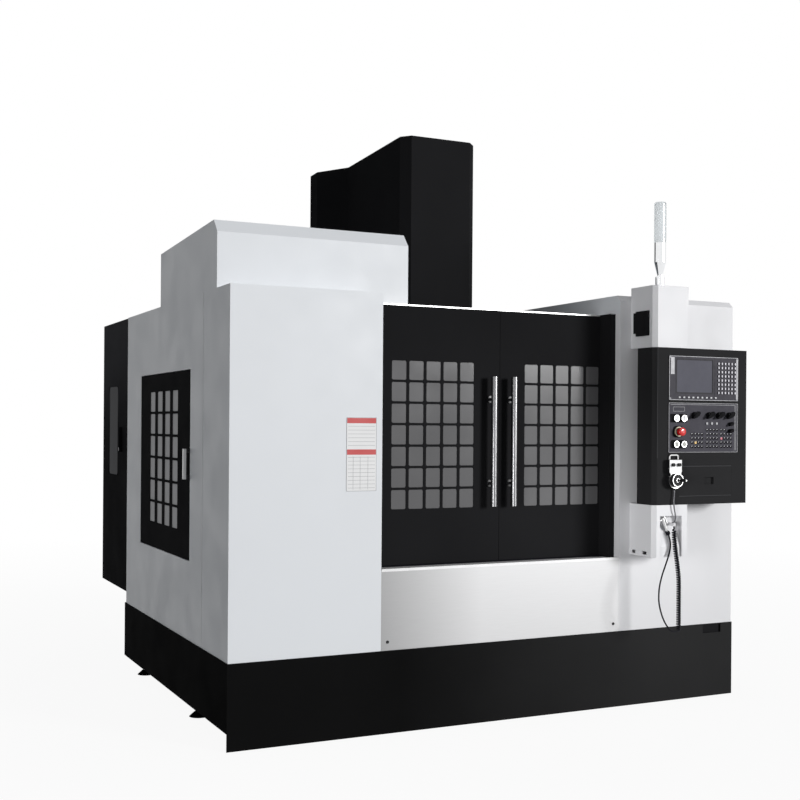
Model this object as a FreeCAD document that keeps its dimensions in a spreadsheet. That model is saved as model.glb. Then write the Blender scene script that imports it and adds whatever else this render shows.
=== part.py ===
import FreeCAD, Part
import math
import os
import Sketcher

# Vertical machining center, millimetres, +Z up.  Pieces are drawn in corner coordinates: X from the
# enclosure's left face, Y back from its front plane, Z up from the floor.  Each piece's Placement then
# moves it to the part's own frame, whose origin is the middle of the whole machine's footprint.

SIZES = {
    # enclosure
    "enclosure_width": 2890,
    "enclosure_depth": 1995,
    "enclosure_height": 2100,
    "sheet": 3,
    "fold": 25,
    "base_height": 395,
    "base_proud": 4,
    "base_rear": 20,
    "skirt_clearance": 80,
    "notch_width": 123,
    "notch_drop": 50,
    "notch_from_right": 75,
    "right_rise": 62,
    "roof_bevel": 29,
    # levelling feet
    "foot_height": 95,
    "foot_radius": 50,
    "foot_screw_radius": 12,
    "foot_inset": 75,
    "bracket_length": 150,
    "bracket_width": 100,
    "bracket_height": 60,
    # front doors
    "opening_left": 755,
    "opening_right": 2100,
    "wall_left": 2133,
    "jamb_front": 45,
    "door_recess": 142,
    "door_seam": 1483.5,
    "door_bottom": 781,
    "door_head_height": 42,
    "leaf_width": 760,
    "leaf_thickness": 40,
    "leaf_gap": 2,
    "running_gap": 0.5,
    "rail_height": 6.5,
    "rail_depth": 62,
    "sill_height": 36,
    "apron_top": 778,
    "cell_width": 81,
    "cell_height": 94.5,
    "cell_pitch_across": 95.3,
    "cell_pitch_up": 106.25,
    "cell_corner": 8,
    "cell_columns": 5,
    "cell_rows": 7,
    "cells_from_seam": 150,
    "cells_bottom": 1056,
    "glass_thickness": 5,
    "glass_margin": 20,
    "handle_radius": 16.5,
    "handle_bottom": 1061,
    "handle_length": 658,
    "handle_from_seam": 59,
    "handle_standoff": 49,
    "handle_post_radius": 7,
    "handle_post_inset": 115,
    "rosette_radius": 17,
    "rosette_thickness": 6,
    # side door
    "seam_from_door": 217,
    "side_door_front": 637,
    "side_door_width": 1011,
    "side_door_bottom": 791,
    "side_door_height": 946,
    "side_door_gap": 3,
    "side_door_stop": 12,
    "side_cell_width": 108,
    "side_cell_height": 108,
    "side_cell_pitch_across": 155,
    "side_cell_pitch_up": 121,
    "side_cell_columns": 4,
    "side_cell_rows": 6,
    "side_cells_from_front": 229,
    "side_cells_from_bottom": 138,
    "side_handle_reach": 28,
    "side_handle_bar": 14,
    "side_handle_width": 20,
    "side_handle_inset": 15,
    "side_handle_bottom": 1193,
    "side_handle_length": 151,
    # tool magazine cover
    "cover_front": 203,
    "cover_rear": 1230,
    "cover_width": 985,
    "cover_face_rise": 262.5,
    "cover_bevel_depth": 53,
    "cover_bevel_height": 61,
    "cover_rear_rise": 284,
    # tower cover
    "tower_front": 733,
    "tower_half_width": 231,
    "tower_corner": 48,
    "tower_splay_start": 1498,
    "tower_splay_end": 1680,
    "tower_splay_half_width": 362,
    "tower_rear": 1790,
    "tower_front_top": 3062,
    "tower_rear_top": 3016,
    # electrical cabinet
    "cabinet_width": 900,
    "cabinet_depth": 685,
    "cabinet_bottom": 460,
    "cabinet_height": 1639,
    "cabinet_door_thickness": 27,
    "cabinet_door_margin": 2,
    "cabinet_rim": 20,
    "cabinet_skin": 5,
    "cabinet_window_from_front": 240,
    "cabinet_window_width": 282,
    "cabinet_window_bottom": 1145,
    "cabinet_window_height": 555,
    "cabinet_handle_from_front": 145,
    "cabinet_handle_width": 12,
    "cabinet_handle_bottom": 1295,
    "cabinet_handle_length": 150,
    "cabinet_handle_reach": 18,
    "drive_count": 4,
    "drive_width": 110,
    "drive_pitch": 140,
    "drive_height": 380,
    "drive_depth": 230,
    # bed, saddle and table
    "bed_half_width": 450,
    "bed_front": 330,
    "bed_rear": 1980,
    "bed_top": 560,
    "way_height": 60,
    "way_width": 90,
    "way_half_spacing": 330,
    "bed_wall": 110,
    "bed_deck": 60,
    "bed_rib": 50,
    "bed_cavity_length": 250,
    "bed_cavity_count": 5,
    "saddle_half_width": 850,
    "saddle_half_depth": 310,
    "saddle_height": 80,
    "keeper_width": 50,
    "keeper_drop": 52,
    "cross_way_height": 60,
    "cross_way_width": 80,
    "cross_way_half_spacing": 190,
    "table_half_length": 600,
    "table_half_depth": 275,
    "table_thickness": 120,
    "slot_count": 5,
    "slot_pitch": 100,
    "slot_width": 18,
    "slot_depth": 20,
    "slot_foot_width": 30,
    "slot_foot_height": 14,
    # column, head and spindle
    "column_half_width": 372,
    "column_front": 1500,
    "column_roof_gap": 10,
    "column_neck_half_width": 220,
    "column_neck_rear": 1760,
    "column_top": 2900,
    "column_way_bottom": 900,
    "column_way_top": 2850,
    "column_way_depth": 40,
    "column_way_width": 60,
    "column_way_half_spacing": 170,
    "column_wall": 60,
    "column_pocket_height": 640,
    "column_pocket_pitch": 730,
    "column_pocket_count": 2,
    "spindle_y": 890,
    "spindle_nose": 1655,
    "head_bottom": 1700,
    "head_height": 550,
    "head_half_width": 170,
    "head_front": 150,
    "head_corner": 40,
    "head_back_half_width": 215,
    "head_back_thickness": 80,
    "head_nose_radius": 110,
    "motor_radius": 125,
    "motor_height": 390,
    "spindle_radius": 40,
    "spindle_flange_radius": 44,
    "spindle_flange": 4.5,
    "spindle_length": 140,
    "taper_mouth_radius": 22.2,
    "taper_length": 65,
    "bearing_clearance": 0.05,
    # tool changer
    "changer_box": 160,
    "changer_bottom": 1700,
    "changer_above_axle": 70,
    "changer_beam_height": 200,
    "changer_shaft_radius": 35,
    "changer_shaft_length": 260,
    "arm_radius": 380,
    "arm_top": 1640,
    "arm_thickness": 45,
    "arm_width": 70,
    "arm_hub_radius": 60,
    "arm_grip_radius": 55,
    "arm_grip_bore": 32,
    "arm_pin_radius": 25,
    "magazine_x": 640,
    "magazine_below_cover": 354,
    "magazine_radius": 250,
    "magazine_thickness": 50,
    "magazine_axle_radius": 30,
    "magazine_collar_radius": 40,
    "pot_count": 24,
    "pot_ring_radius": 268,
    "pot_radius": 31,
    "pot_length": 110,
    # pendant and its arm
    "pendant_left": 2200,
    "pendant_right": 2810,
    "pendant_bottom": 1067,
    "pendant_top": 1880,
    "pendant_reach": 200,
    "pendant_back": 60,
    "pendant_corner": 20,
    "pendant_seam": 1306,
    "pendant_seam_width": 2,
    "pendant_wall": 4,
    "block_right": 2417,
    "block_top": 2200,
    "block_bottom": 797,
    "pivot_x": 2250,
    "pivot_y": 110,
    "pivot_radius": 15,
    "pivot_length": 22,
    "niche_left": 2241,
    "niche_right": 2382,
    "niche_top": 1010,
    "niche_break": 850,
    "niche_depth": 52,
    "niche_foot_depth": 10,
    "grip_front": 144,
    "grip_rear": 20,
    "grip_pocket": 34,
    "grip_rise": 11,
    "grip_height": 16,
    "grip_proud": 3,
    "latch_reach": 12,
    "latch_front": 156,
    "latch_rear": 55,
    "latch_bottom": 1942,
    "latch_height": 129,
    "latch_tab": 23,
    "latch_ridge": 126,
    "latch_ridge_width": 6,
    "lamp_x": 2308,
    "lamp_y": 100,
    "lamp_foot_radius": 25,
    "lamp_foot_height": 60,
    "lamp_neck_radius": 14,
    "lamp_radius": 31.5,
    "lamp_stem_height": 235,
    "lamp_shoulder": 132,
    "lamp_lens_height": 212,
    # control unit and operator panel
    "bezel_proud": 4,
    "unit_left": 2291,
    "unit_width": 457,
    "unit_bottom": 1610,
    "unit_height": 229,
    "unit_rim": 20,
    "unit_depth": 90,
    "screen_left": 2340,
    "screen_width": 236,
    "screen_bottom": 1650,
    "screen_height": 170,
    "screen_recess": 2,
    "key_size": 13,
    "key_height": 3,
    "unit_key_left": 2610,
    "unit_key_bottom": 1645,
    "unit_key_pitch_across": 22.2,
    "unit_key_pitch_up": 22,
    "unit_key_columns": 6,
    "unit_key_rows": 8,
    "soft_key_left": 2351,
    "soft_key_bottom": 1620,
    "soft_key_pitch": 29.8,
    "soft_key_count": 9,
    "panel_left": 2290,
    "panel_width": 458,
    "panel_bottom": 1338,
    "panel_height": 258,
    "panel_backing": 10,
    "panel_key_pitch": 21.9,
    "left_keys_left": 2435,
    "panel_keys_columns": 4,
    "panel_keys_rows": 4,
    "middle_keys_left": 2535,
    "middle_keys_rows": 5,
    "right_keys_left": 2629,
    "right_keys_extra": 2,
    "panel_keys_bottom": 1361,
    "light_left": 2533,
    "light_bottom": 1483,
    "light_pitch": 32.5,
    "light_count": 3,
    "stop_x": 2352,
    "stop_z": 1446,
    "stop_collar_radius": 21,
    "stop_collar_height": 8,
    "stop_radius": 20,
    "stop_head": 22,
    "stop_travel": 4,
    "stop_stem_radius": 10,
    "knob_z": 1532.5,
    "knob_first": 2454,
    "knob_second": 2551,
    "knob_third": 2618,
    "knob_fourth": 2687,
    "knob_radius": 17,
    "knob_height": 20,
    "knob_shaft_radius": 4,
    "axis_switch_x": 2693,
    "axis_switch_z": 1487,
    "axis_switch_drop": 36,
    "axis_switch_radius": 10.5,
    "switch_first": 2334,
    "switch_second": 2382.5,
    "key_switch_z": 1515,
    "lit_button_z": 1381,
    "switch_bezel_radius": 17,
    "switch_bezel_height": 4,
    "switch_radius": 13,
    "switch_height": 12,
    "button_stem_radius": 8,
    "seat_gap": 0.3,
    # flap in the pendant's foot
    "flap_swing_gap": 2,
    "flap_width": 350,
    "flap_bottom": 1107,
    "flap_height": 163,
    "flap_thickness": 16,
    "flap_gap": 0.5,
    "pull_left": 2529,
    "pull_width": 62,
    "pull_bottom": 1170,
    "pull_height": 37,
    "pull_depth": 12,
    # hand wheel unit
    "wheel_x": 2316,
    "wheel_z": 1196,
    "wheel_case_width": 80,
    "wheel_case_top": 1301,
    "wheel_case_depth": 30,
    "wheel_case_radius": 43,
    "wheel_radius": 36,
    "wheel_thickness": 20,
    "wheel_shaft_radius": 6,
    "crank_offset": 26,
    "crank_radius": 8,
    "crank_length": 34,
    "wheel_knob_z": 1275,
    "wheel_knob_half_spacing": 19,
    "wheel_knob_radius": 9,
    "wheel_knob_height": 12,
    "hook_width": 59,
    "hook_height": 26,
    "hook_wire": 5,
    "hook_shift": 6,
    "gland_x": 2322,
    "gland_y": 213,
    "gland_radius": 6,
    "gland_length": 9,
    # air gun and hose fitting
    "gun_x": 2300,
    "gun_y": 180,
    "gun_tilt": 25,
    "gun_bottom": 937,
    "gun_radius": 9,
    "gun_length": 70,
    "gun_head_radius": 11,
    "gun_head_length": 18,
    "gun_inlet_radius": 5,
    "gun_inlet_length": 20,
    "gun_nozzle_radius": 4,
    "gun_nozzle_length": 14,
    "trigger_gap": 5,
    "trigger_thickness": 3,
    "trigger_width": 8,
    "trigger_length": 42,
    "fitting_x": 2322,
    "fitting_y": 212,
    "fitting_bottom": 957,
    "fitting_radius": 8,
    # hose and cord
    "hose_diameter": 8,
    "coil_radius": 9,
    "coil_pitch": 12,
    "coil_curls": 43,
    "coil_lean": 30,
    "coil_lean_drop": 300,
    "coil_shift": 9,
    "cord_diameter": 7,
}

doc = FreeCAD.newDocument("machining_center")
sheet = doc.addObject("Spreadsheet::Sheet", "Sizes")
for row, (alias, value) in enumerate(SIZES.items(), 1):
    sheet.set(f"A{row}", alias)
    sheet.set(f"B{row}", str(value))
    sheet.setAlias(f"B{row}", alias)
doc.recompute()


class Dim:
    """A length that knows its value and the sheet formula it comes from."""

    def __init__(self, value, formula):
        self.value = float(value)
        self.formula = formula

    def __add__(self, other):
        other = dim(other)
        return Dim(self.value + other.value, f"({self.formula} + {other.formula})")

    def __sub__(self, other):
        other = dim(other)
        return Dim(self.value - other.value, f"({self.formula} - {other.formula})")

    def __mul__(self, other):
        other = dim(other)
        return Dim(self.value * other.value, f"({self.formula} * {other.formula})")

    def __truediv__(self, other):
        other = dim(other)
        return Dim(self.value / other.value, f"({self.formula} / {other.formula})")

    def __radd__(self, other):
        return dim(other) + self

    def __rsub__(self, other):
        return dim(other) - self

    def __rmul__(self, other):
        return dim(other) * self

    def __neg__(self):
        return dim(0) - self


def dim(number):
    """The number as a Dim."""
    if isinstance(number, Dim):
        return number
    return Dim(number, repr(number))


class Sheet:
    """Reads the driving dimensions by name."""

    def __getattr__(self, alias):
        return Dim(SIZES[alias], f"Sizes.{alias}")


s = Sheet()
centre = s.enclosure_width / 2
right_face = s.enclosure_width
zero = dim(0)

# --- sketch tools ---------------------------------------------------------------------------------

PLANES = {"XY": "XY_Plane", "XZ": "XZ_Plane", "YZ": "YZ_Plane"}


def pin_point(sketch, geometry, point, u, v):
    """Fixes one point of the sketch at the sheet's values."""
    for kind, place in (("DistanceX", dim(u)), ("DistanceY", dim(v))):
        rule = Sketcher.Constraint(kind, -1, 1, geometry, point, place.value)
        index = sketch.addConstraint(rule)
        sketch.setExpression(f"Constraints[{index}]", place.formula)


def draw_polygon(sketch, *corners):
    """A closed outline of straight lines."""
    first = sketch.GeometryCount
    count = len(corners)
    spots = [FreeCAD.Vector(dim(u).value, dim(v).value, 0) for u, v in corners]
    for i in range(count):
        sketch.addGeometry(Part.LineSegment(spots[i], spots[(i + 1) % count]), False)
    for i in range(count):
        sketch.addConstraint(Sketcher.Constraint("Coincident", first + i, 2, first + (i + 1) % count, 1))
    for i, (u, v) in enumerate(corners):
        pin_point(sketch, first + i, 1, u, v)


def draw_circle(sketch, u, v, radius):
    """A circle held at its centre."""
    middle = FreeCAD.Vector(dim(u).value, dim(v).value, 0)
    ring = Part.Circle(middle, FreeCAD.Vector(0, 0, 1), dim(radius).value)
    index = sketch.addGeometry(ring, False)
    pin_point(sketch, index, 3, u, v)
    rule = sketch.addConstraint(Sketcher.Constraint("Radius", index, dim(radius).value))
    sketch.setExpression(f"Constraints[{rule}]", dim(radius).formula)


def draw_rounded(sketch, u0, v0, u1, v1, radius):
    """A rectangle with round corners."""
    first = sketch.GeometryCount
    sides = [
        ((u0 + radius, v0), (u1 - radius, v0)),
        ((u1, v0 + radius), (u1, v1 - radius)),
        ((u1 - radius, v1), (u0 + radius, v1)),
        ((u0, v1 - radius), (u0, v0 + radius)),
    ]
    for start, end in sides:
        tail = FreeCAD.Vector(start[0].value, start[1].value, 0)
        head = FreeCAD.Vector(end[0].value, end[1].value, 0)
        sketch.addGeometry(Part.LineSegment(tail, head), False)
    middles = [(u1 - radius, v0 + radius), (u1 - radius, v1 - radius),
               (u0 + radius, v1 - radius), (u0 + radius, v0 + radius)]
    for i, (u, v) in enumerate(middles):
        start = (i - 1) * math.pi / 2
        ring = Part.Circle(FreeCAD.Vector(u.value, v.value, 0), FreeCAD.Vector(0, 0, 1), radius.value)
        sketch.addGeometry(Part.ArcOfCircle(ring, start, start + math.pi / 2), False)
    for i, (start, end) in enumerate(sides):
        pin_point(sketch, first + i, 1, *start)
        pin_point(sketch, first + i, 2, *end)
    for i, (u, v) in enumerate(middles):
        arc = first + 4 + i
        sketch.addConstraint(Sketcher.Constraint("Coincident", arc, 1, first + i, 2))
        sketch.addConstraint(Sketcher.Constraint("Coincident", arc, 2, first + (i + 1) % 4, 1))
        rule = sketch.addConstraint(Sketcher.Constraint("DistanceX", -1, 1, arc, 3, u.value))
        sketch.setExpression(f"Constraints[{rule}]", u.formula)


def polygon(*corners):
    return draw_polygon, corners


def rectangle(u0, v0, u1, v1):
    return draw_polygon, ((u0, v0), (u1, v0), (u1, v1), (u0, v1))


def circle(u, v, radius):
    return draw_circle, (u, v, radius)


def rounded(u0, v0, u1, v1, radius):
    return draw_rounded, (u0, v0, u1, v1, radius)


# --- piece tools ----------------------------------------------------------------------------------

pieces = {}
cuts = []


def bind(feature, name, size):
    """Ties a property to the sheet."""
    feature.setExpression(name, dim(size).formula)


def settle(label, piece, x=zero, y=zero, z=zero):
    """Names a finished piece and places it in the part's frame."""
    footprint_left = zero - s.side_handle_reach
    footprint_right = right_face + s.base_proud
    footprint_front = zero - front_reach
    footprint_rear = s.enclosure_depth + s.cabinet_depth
    piece.Label = label
    bind(piece, "Placement.Base.x", x - (footprint_left + footprint_right) / 2)
    bind(piece, "Placement.Base.y", y - (footprint_front + footprint_rear) / 2)
    bind(piece, "Placement.Base.z", z)
    pieces[label] = piece
    return piece


class Body:
    """One solid made of sketches, pads and pockets between two levels of an origin plane's normal."""

    def __init__(self, name):
        self.body = doc.addObject("PartDesign::Body", name)

    def sketch(self, plane, level, loops):
        sketch = self.body.newObject("Sketcher::SketchObject", "Sketch")
        support = [f for f in self.body.Origin.OriginFeatures if f.Role == PLANES[plane]]
        sketch.AttachmentSupport = [(support[0], "")]
        sketch.MapMode = "FlatFace"
        level = dim(level)
        bind(sketch, "AttachmentOffset.Base.z", -level if plane == "XZ" else level)
        for draw, values in loops:
            draw(sketch, *values)
        return sketch

    def pad(self, plane, low, high, *loops):
        """Adds material from low to high; the XZ plane's normal points to -Y."""
        start = high if plane == "XZ" else low
        feature = self.body.newObject("PartDesign::Pad", "Pad")
        feature.Profile = self.sketch(plane, start, loops)
        bind(feature, "Length", dim(high) - low)
        self.body.Tip = feature
        return feature

    def pocket(self, plane, low, high, *loops):
        """Takes material away from low to high."""
        start = low if plane == "XZ" else high
        feature = self.body.newObject("PartDesign::Pocket", "Pocket")
        feature.Profile = self.sketch(plane, start, loops)
        bind(feature, "Length", dim(high) - low)
        self.body.Tip = feature
        cuts.append(feature)
        return feature

    def grid(self, feature, across, columns, up=None, rows=None):
        """Repeats a feature along its sketch's two axes."""
        pattern = self.body.newObject("PartDesign::LinearPattern", "Grid")
        pattern.Originals = [feature]
        pattern.Direction = (feature.Profile[0], ["H_Axis"])
        bind(pattern, "Length", across * (columns - 1))
        bind(pattern, "Occurrences", columns)
        if rows is not None:
            pattern.Direction2 = (feature.Profile[0], ["V_Axis"])
            bind(pattern, "Length2", up * (rows - 1))
            bind(pattern, "Occurrences2", rows)
        self.body.Tip = pattern
        return pattern

    def stack(self, feature, pitch, count):
        """Repeats a feature upwards."""
        pattern = self.body.newObject("PartDesign::LinearPattern", "Stack")
        pattern.Originals = [feature]
        pattern.Direction = (feature.Profile[0], ["V_Axis"])
        bind(pattern, "Length", pitch * (count - 1))
        bind(pattern, "Occurrences", count)
        self.body.Tip = pattern
        return pattern

    def turn(self, plane, axis, *corners):
        """A turned solid from a half section."""
        feature = self.body.newObject("PartDesign::Revolution", "Turn")
        sketch = self.sketch(plane, zero, [polygon(*corners)])
        feature.Profile = sketch
        feature.ReferenceAxis = (sketch, [axis])
        feature.Angle = 360
        self.body.Tip = feature
        return feature


def block(x0, y0, z0, x1, y1, z1):
    """A plain block between two corners."""
    solid = doc.addObject("Part::Box", "Block")
    x0, y0, z0 = dim(x0), dim(y0), dim(z0)
    bind(solid, "Length", x1 - x0)
    bind(solid, "Width", y1 - y0)
    bind(solid, "Height", z1 - z0)
    bind(solid, "Placement.Base.x", x0)
    bind(solid, "Placement.Base.y", y0)
    bind(solid, "Placement.Base.z", z0)
    return solid


TURN_TO = {
    "X": FreeCAD.Rotation(FreeCAD.Vector(0, 1, 0), 90),
    "Y": FreeCAD.Rotation(FreeCAD.Vector(1, 0, 0), -90),
    "Z": FreeCAD.Rotation(),
}


def rod(axis, x, y, z, radius, length):
    """A cylinder that starts at a point and runs along +X, +Y or +Z."""
    solid = doc.addObject("Part::Cylinder", "Rod")
    solid.Placement = FreeCAD.Placement(FreeCAD.Vector(), TURN_TO[axis])
    bind(solid, "Radius", radius)
    bind(solid, "Height", length)
    bind(solid, "Placement.Base.x", x)
    bind(solid, "Placement.Base.y", y)
    bind(solid, "Placement.Base.z", z)
    return solid


def fuse(*solids):
    union = doc.addObject("Part::MultiFuse", "Union")
    union.Shapes = list(solids)
    return union


def cut(base, tool):
    difference = doc.addObject("Part::Cut", "Cut")
    difference.Base = base
    difference.Tool = tool
    return difference


# --- values that several pieces share ---------------------------------------------------------------

depth = s.enclosure_depth
changer_x = centre - s.arm_radius
right_height = s.enclosure_height + s.right_rise
door_top = s.enclosure_height - s.door_head_height
column_shoulder = s.enclosure_height - s.column_roof_gap
cover_face_top = s.enclosure_height + s.cover_face_rise
cover_rear_top = s.enclosure_height + s.cover_rear_rise
magazine_z = cover_rear_top - s.magazine_below_cover
flap_left = s.wheel_x + s.wheel_case_radius + s.flap_swing_gap
pendant_front = -s.pendant_reach
plate_front = pendant_front - s.bezel_proud
wheel_face = pendant_front - s.wheel_case_depth
front_reach = s.pendant_reach + s.wheel_case_depth + s.seat_gap + s.wheel_thickness + s.crank_length
rail_top = door_top + s.running_gap + s.rail_height
rail_front = s.door_recess - 4
rail_rear = rail_front + s.rail_depth
sill_top = s.door_bottom - s.running_gap
right_face_top = right_height - s.roof_bevel
under_roof = right_height - s.sheet
bevel_inside_low = right_face_top - s.sheet / 2
bevel_inside_high = under_roof - s.sheet / 2
way_top = s.bed_top + s.way_height
saddle_bottom = way_top + s.running_gap
saddle_top = saddle_bottom + s.saddle_height
cross_way_top = saddle_top + s.cross_way_height
table_bottom = cross_way_top + s.running_gap
table_top = table_bottom + s.table_thickness


# --- base and castings ------------------------------------------------------------------------------

def make_base_skirt():
    skirt = Body("base_skirt")
    left = -s.base_proud
    right = right_face + s.base_proud
    rear = depth + s.base_rear
    outer = rectangle(left, -s.base_proud, right, rear)
    inner = rectangle(zero, zero, right_face, rear - s.base_proud)
    lip = rectangle(s.fold, s.fold, right_face - s.fold, rear - s.fold)
    skirt.pad("XY", zero, s.base_height, outer, inner)
    skirt.pad("XY", s.base_height - s.sheet, s.base_height, outer, lip)
    skirt.pocket("XY", zero - 1, s.skirt_clearance, rectangle(left - 1, zero, right + 1, rear + 1))
    notch_right = right_face - s.notch_from_right
    notch = rectangle(notch_right - s.notch_width, s.base_height - s.notch_drop,
                      notch_right, s.base_height + 1)
    skirt.pocket("XZ", left - 1, s.base_proud, notch)
    brackets = []
    for y in (foot_front_y, foot_rear_y):
        low = y - s.bracket_width / 2
        high = y + s.bracket_width / 2
        brackets.append(rectangle(left / 2, low, s.bracket_length, high))
        brackets.append(rectangle(right_face - s.bracket_length, low, right_face + s.base_proud / 2, high))
    skirt.pad("XY", s.foot_height, s.foot_height + s.bracket_height, *brackets)
    settle("base_skirt", skirt.body)


foot_front_y = depth * 0.35
foot_rear_y = depth * 0.9


def make_levelling_feet():
    feet = []
    middle_y = (s.bed_front + s.bed_rear) / 2
    bed_ys = (s.bed_front + s.foot_inset, middle_y, s.bed_rear - s.foot_inset)
    spots = [(x, y) for x in (s.foot_inset, right_face - s.foot_inset) for y in (foot_front_y, foot_rear_y)]
    bed_x = s.bed_half_width - s.foot_inset
    spots += [(x, y) for x in (centre - bed_x, centre + bed_x) for y in bed_ys]
    for x, y in spots:
        pad = doc.addObject("Part::Cone", "Pad")
        bind(pad, "Radius1", s.foot_radius)
        bind(pad, "Radius2", s.foot_screw_radius * 2)
        bind(pad, "Height", s.foot_height / 4)
        bind(pad, "Placement.Base.x", x)
        bind(pad, "Placement.Base.y", y)
        feet.append(fuse(pad, rod("Z", x, y, zero, s.foot_screw_radius, s.foot_height)))
    settle("levelling_feet", fuse(*feet))


def make_bed():
    bed = Body("bed_casting")
    left = centre - s.bed_half_width
    right = centre + s.bed_half_width
    bed.pad("XY", s.foot_height, s.bed_top, rectangle(left, s.bed_front, right, s.bed_rear))
    ways = []
    for side in (-1, 1):
        middle = centre + side * s.way_half_spacing
        ways.append(rectangle(middle - s.way_width / 2, s.bed_front, middle + s.way_width / 2,
                              s.column_front - s.keeper_width))
    bed.pad("XY", s.bed_top, way_top, *ways)
    first = s.bed_front + s.bed_wall / 2
    windows = []
    for x0, x1 in ((left + s.bed_wall, centre - s.bed_rib / 2), (centre + s.bed_rib / 2, right - s.bed_wall)):
        windows.append(rectangle(x0, first, x1, first + s.bed_cavity_length))
    hollow = bed.pocket("XY", s.foot_height - 1, s.bed_top - s.bed_deck, *windows)
    bed.stack(hollow, s.bed_cavity_length + s.bed_rib, s.bed_cavity_count)
    settle("bed_casting", bed.body)


def make_column():
    column = Body("column_casting")
    left = centre - s.column_half_width
    right = centre + s.column_half_width
    column.pad("XY", s.bed_top, column_shoulder, rectangle(left, s.column_front, right, s.bed_rear))
    column.pad("XY", column_shoulder, s.column_top,
               rectangle(centre - s.column_neck_half_width, s.column_front,
                         centre + s.column_neck_half_width, s.column_neck_rear))
    ways = []
    for side in (-1, 1):
        middle = centre + side * s.column_way_half_spacing
        ways.append(rectangle(middle - s.column_way_width / 2, s.column_front - s.column_way_depth,
                              middle + s.column_way_width / 2, s.column_front + 1))
    column.pad("XY", s.column_way_bottom, s.column_way_top, *ways)
    low = s.bed_top + s.column_wall
    window = rectangle(left + s.column_wall, low, right - s.column_wall, low + s.column_pocket_height)
    hollow = column.pocket("XZ", s.column_front + s.column_wall, s.bed_rear + 1, window)
    column.stack(hollow, s.column_pocket_pitch, s.column_pocket_count)
    neck = s.column_neck_half_width - s.column_wall
    window = rectangle(centre - neck, column_shoulder + s.column_wall, centre + neck,
                       s.column_top - s.column_wall)
    column.pocket("XZ", s.column_front + s.column_wall, s.column_neck_rear + 1, window)
    channel = rectangle(centre - s.column_wall, s.column_way_bottom, centre + s.column_wall, s.column_way_top)
    column.pocket("XZ", s.column_front - 1, s.column_front + s.column_wall / 2, channel)
    settle("column_casting", column.body)


def make_saddle():
    saddle = Body("saddle")
    left = centre - s.saddle_half_width
    right = centre + s.saddle_half_width
    front = s.spindle_y - s.saddle_half_depth
    rear = s.spindle_y + s.saddle_half_depth
    saddle.pad("XY", saddle_bottom, saddle_top, rectangle(left, front, right, rear))
    ways = []
    keepers = []
    for side in (-1, 1):
        middle = s.spindle_y + side * s.cross_way_half_spacing
        ways.append(rectangle(left, middle - s.cross_way_width / 2, right, middle + s.cross_way_width / 2))
        inner = s.way_half_spacing + s.way_width / 2 + s.running_gap
        outer = inner + s.keeper_width
        keepers.append(rectangle(centre + side * inner, front, centre + side * outer, rear))
    saddle.pad("XY", saddle_top, cross_way_top, *ways)
    saddle.pad("XY", saddle_bottom - s.keeper_drop, saddle_bottom, *keepers)
    settle("saddle", saddle.body)


def make_table():
    table = Body("table")
    left = centre - s.table_half_length
    right = centre + s.table_half_length
    front = s.spindle_y - s.table_half_depth
    rear = s.spindle_y + s.table_half_depth
    table.pad("XY", table_bottom, table_top, rectangle(left, front, right, rear))
    inner = s.cross_way_half_spacing + s.cross_way_width / 2 + s.running_gap
    keepers = []
    for side in (-1, 1):
        edge = s.spindle_y + side * s.table_half_depth
        keepers.append(rectangle(left, s.spindle_y + side * inner, right, edge))
    table.pad("XY", table_bottom - s.keeper_drop, table_bottom, *keepers)
    first = s.spindle_y - s.slot_pitch * (s.slot_count - 1) / 2
    neck = table_top - s.slot_depth
    foot = neck - s.slot_foot_height
    half = s.slot_width / 2
    wide = s.slot_foot_width / 2
    slot = polygon((first - half, table_top + 1), (first - half, neck), (first - wide, neck),
                   (first - wide, foot), (first + wide, foot), (first + wide, neck),
                   (first + half, neck), (first + half, table_top + 1))
    groove = table.pocket("YZ", left - 1, right + 1, slot)
    table.grid(groove, s.slot_pitch, s.slot_count)
    settle("table", table.body)


def make_head():
    head = Body("spindle_head")
    left = centre - s.head_half_width
    right = centre + s.head_half_width
    front = s.spindle_y - s.head_front
    back = s.column_front - s.column_way_depth - s.running_gap
    top = s.head_bottom + s.head_height
    corner = s.head_corner
    head.pad("XY", s.head_bottom, top,
             polygon((left + corner, front), (right - corner, front), (right, front + corner),
                     (right, back), (left, back), (left, front + corner)))
    head.pad("XY", s.head_bottom, top,
             rectangle(centre - s.head_back_half_width, back - s.head_back_thickness,
                       centre + s.head_back_half_width, back))
    nose = s.spindle_nose + s.spindle_flange + s.running_gap
    head.pad("XY", nose, s.head_bottom, circle(centre, s.spindle_y, s.head_nose_radius))
    head.pad("XY", top, top + s.motor_height, circle(centre, s.spindle_y, s.motor_radius))
    bore_top = s.spindle_nose + s.spindle_flange + s.spindle_length + s.running_gap
    head.pocket("XY", nose - 1, bore_top,
                circle(centre, s.spindle_y, s.spindle_radius + s.bearing_clearance))
    wall = s.head_corner
    head.pocket("XZ", s.spindle_y + s.head_nose_radius * 2, back + 1,
                rectangle(left + wall * 1.5, s.head_bottom + wall, right - wall * 1.5, top - wall))
    settle("spindle_head", head.body)


def make_spindle():
    spindle = Body("spindle")
    shoulder = s.spindle_flange
    top = shoulder + s.spindle_length
    taper_end = s.taper_mouth_radius - s.taper_length * 7 / 48
    spindle.turn("XZ", "V_Axis",
                 (s.taper_mouth_radius, zero), (s.spindle_flange_radius, zero),
                 (s.spindle_flange_radius, shoulder), (s.spindle_radius, shoulder),
                 (s.spindle_radius, top), (zero, top), (zero, s.taper_length), (taper_end, s.taper_length))
    settle("spindle", spindle.body, centre, s.spindle_y, s.spindle_nose)


# --- tool changer -----------------------------------------------------------------------------------

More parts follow.
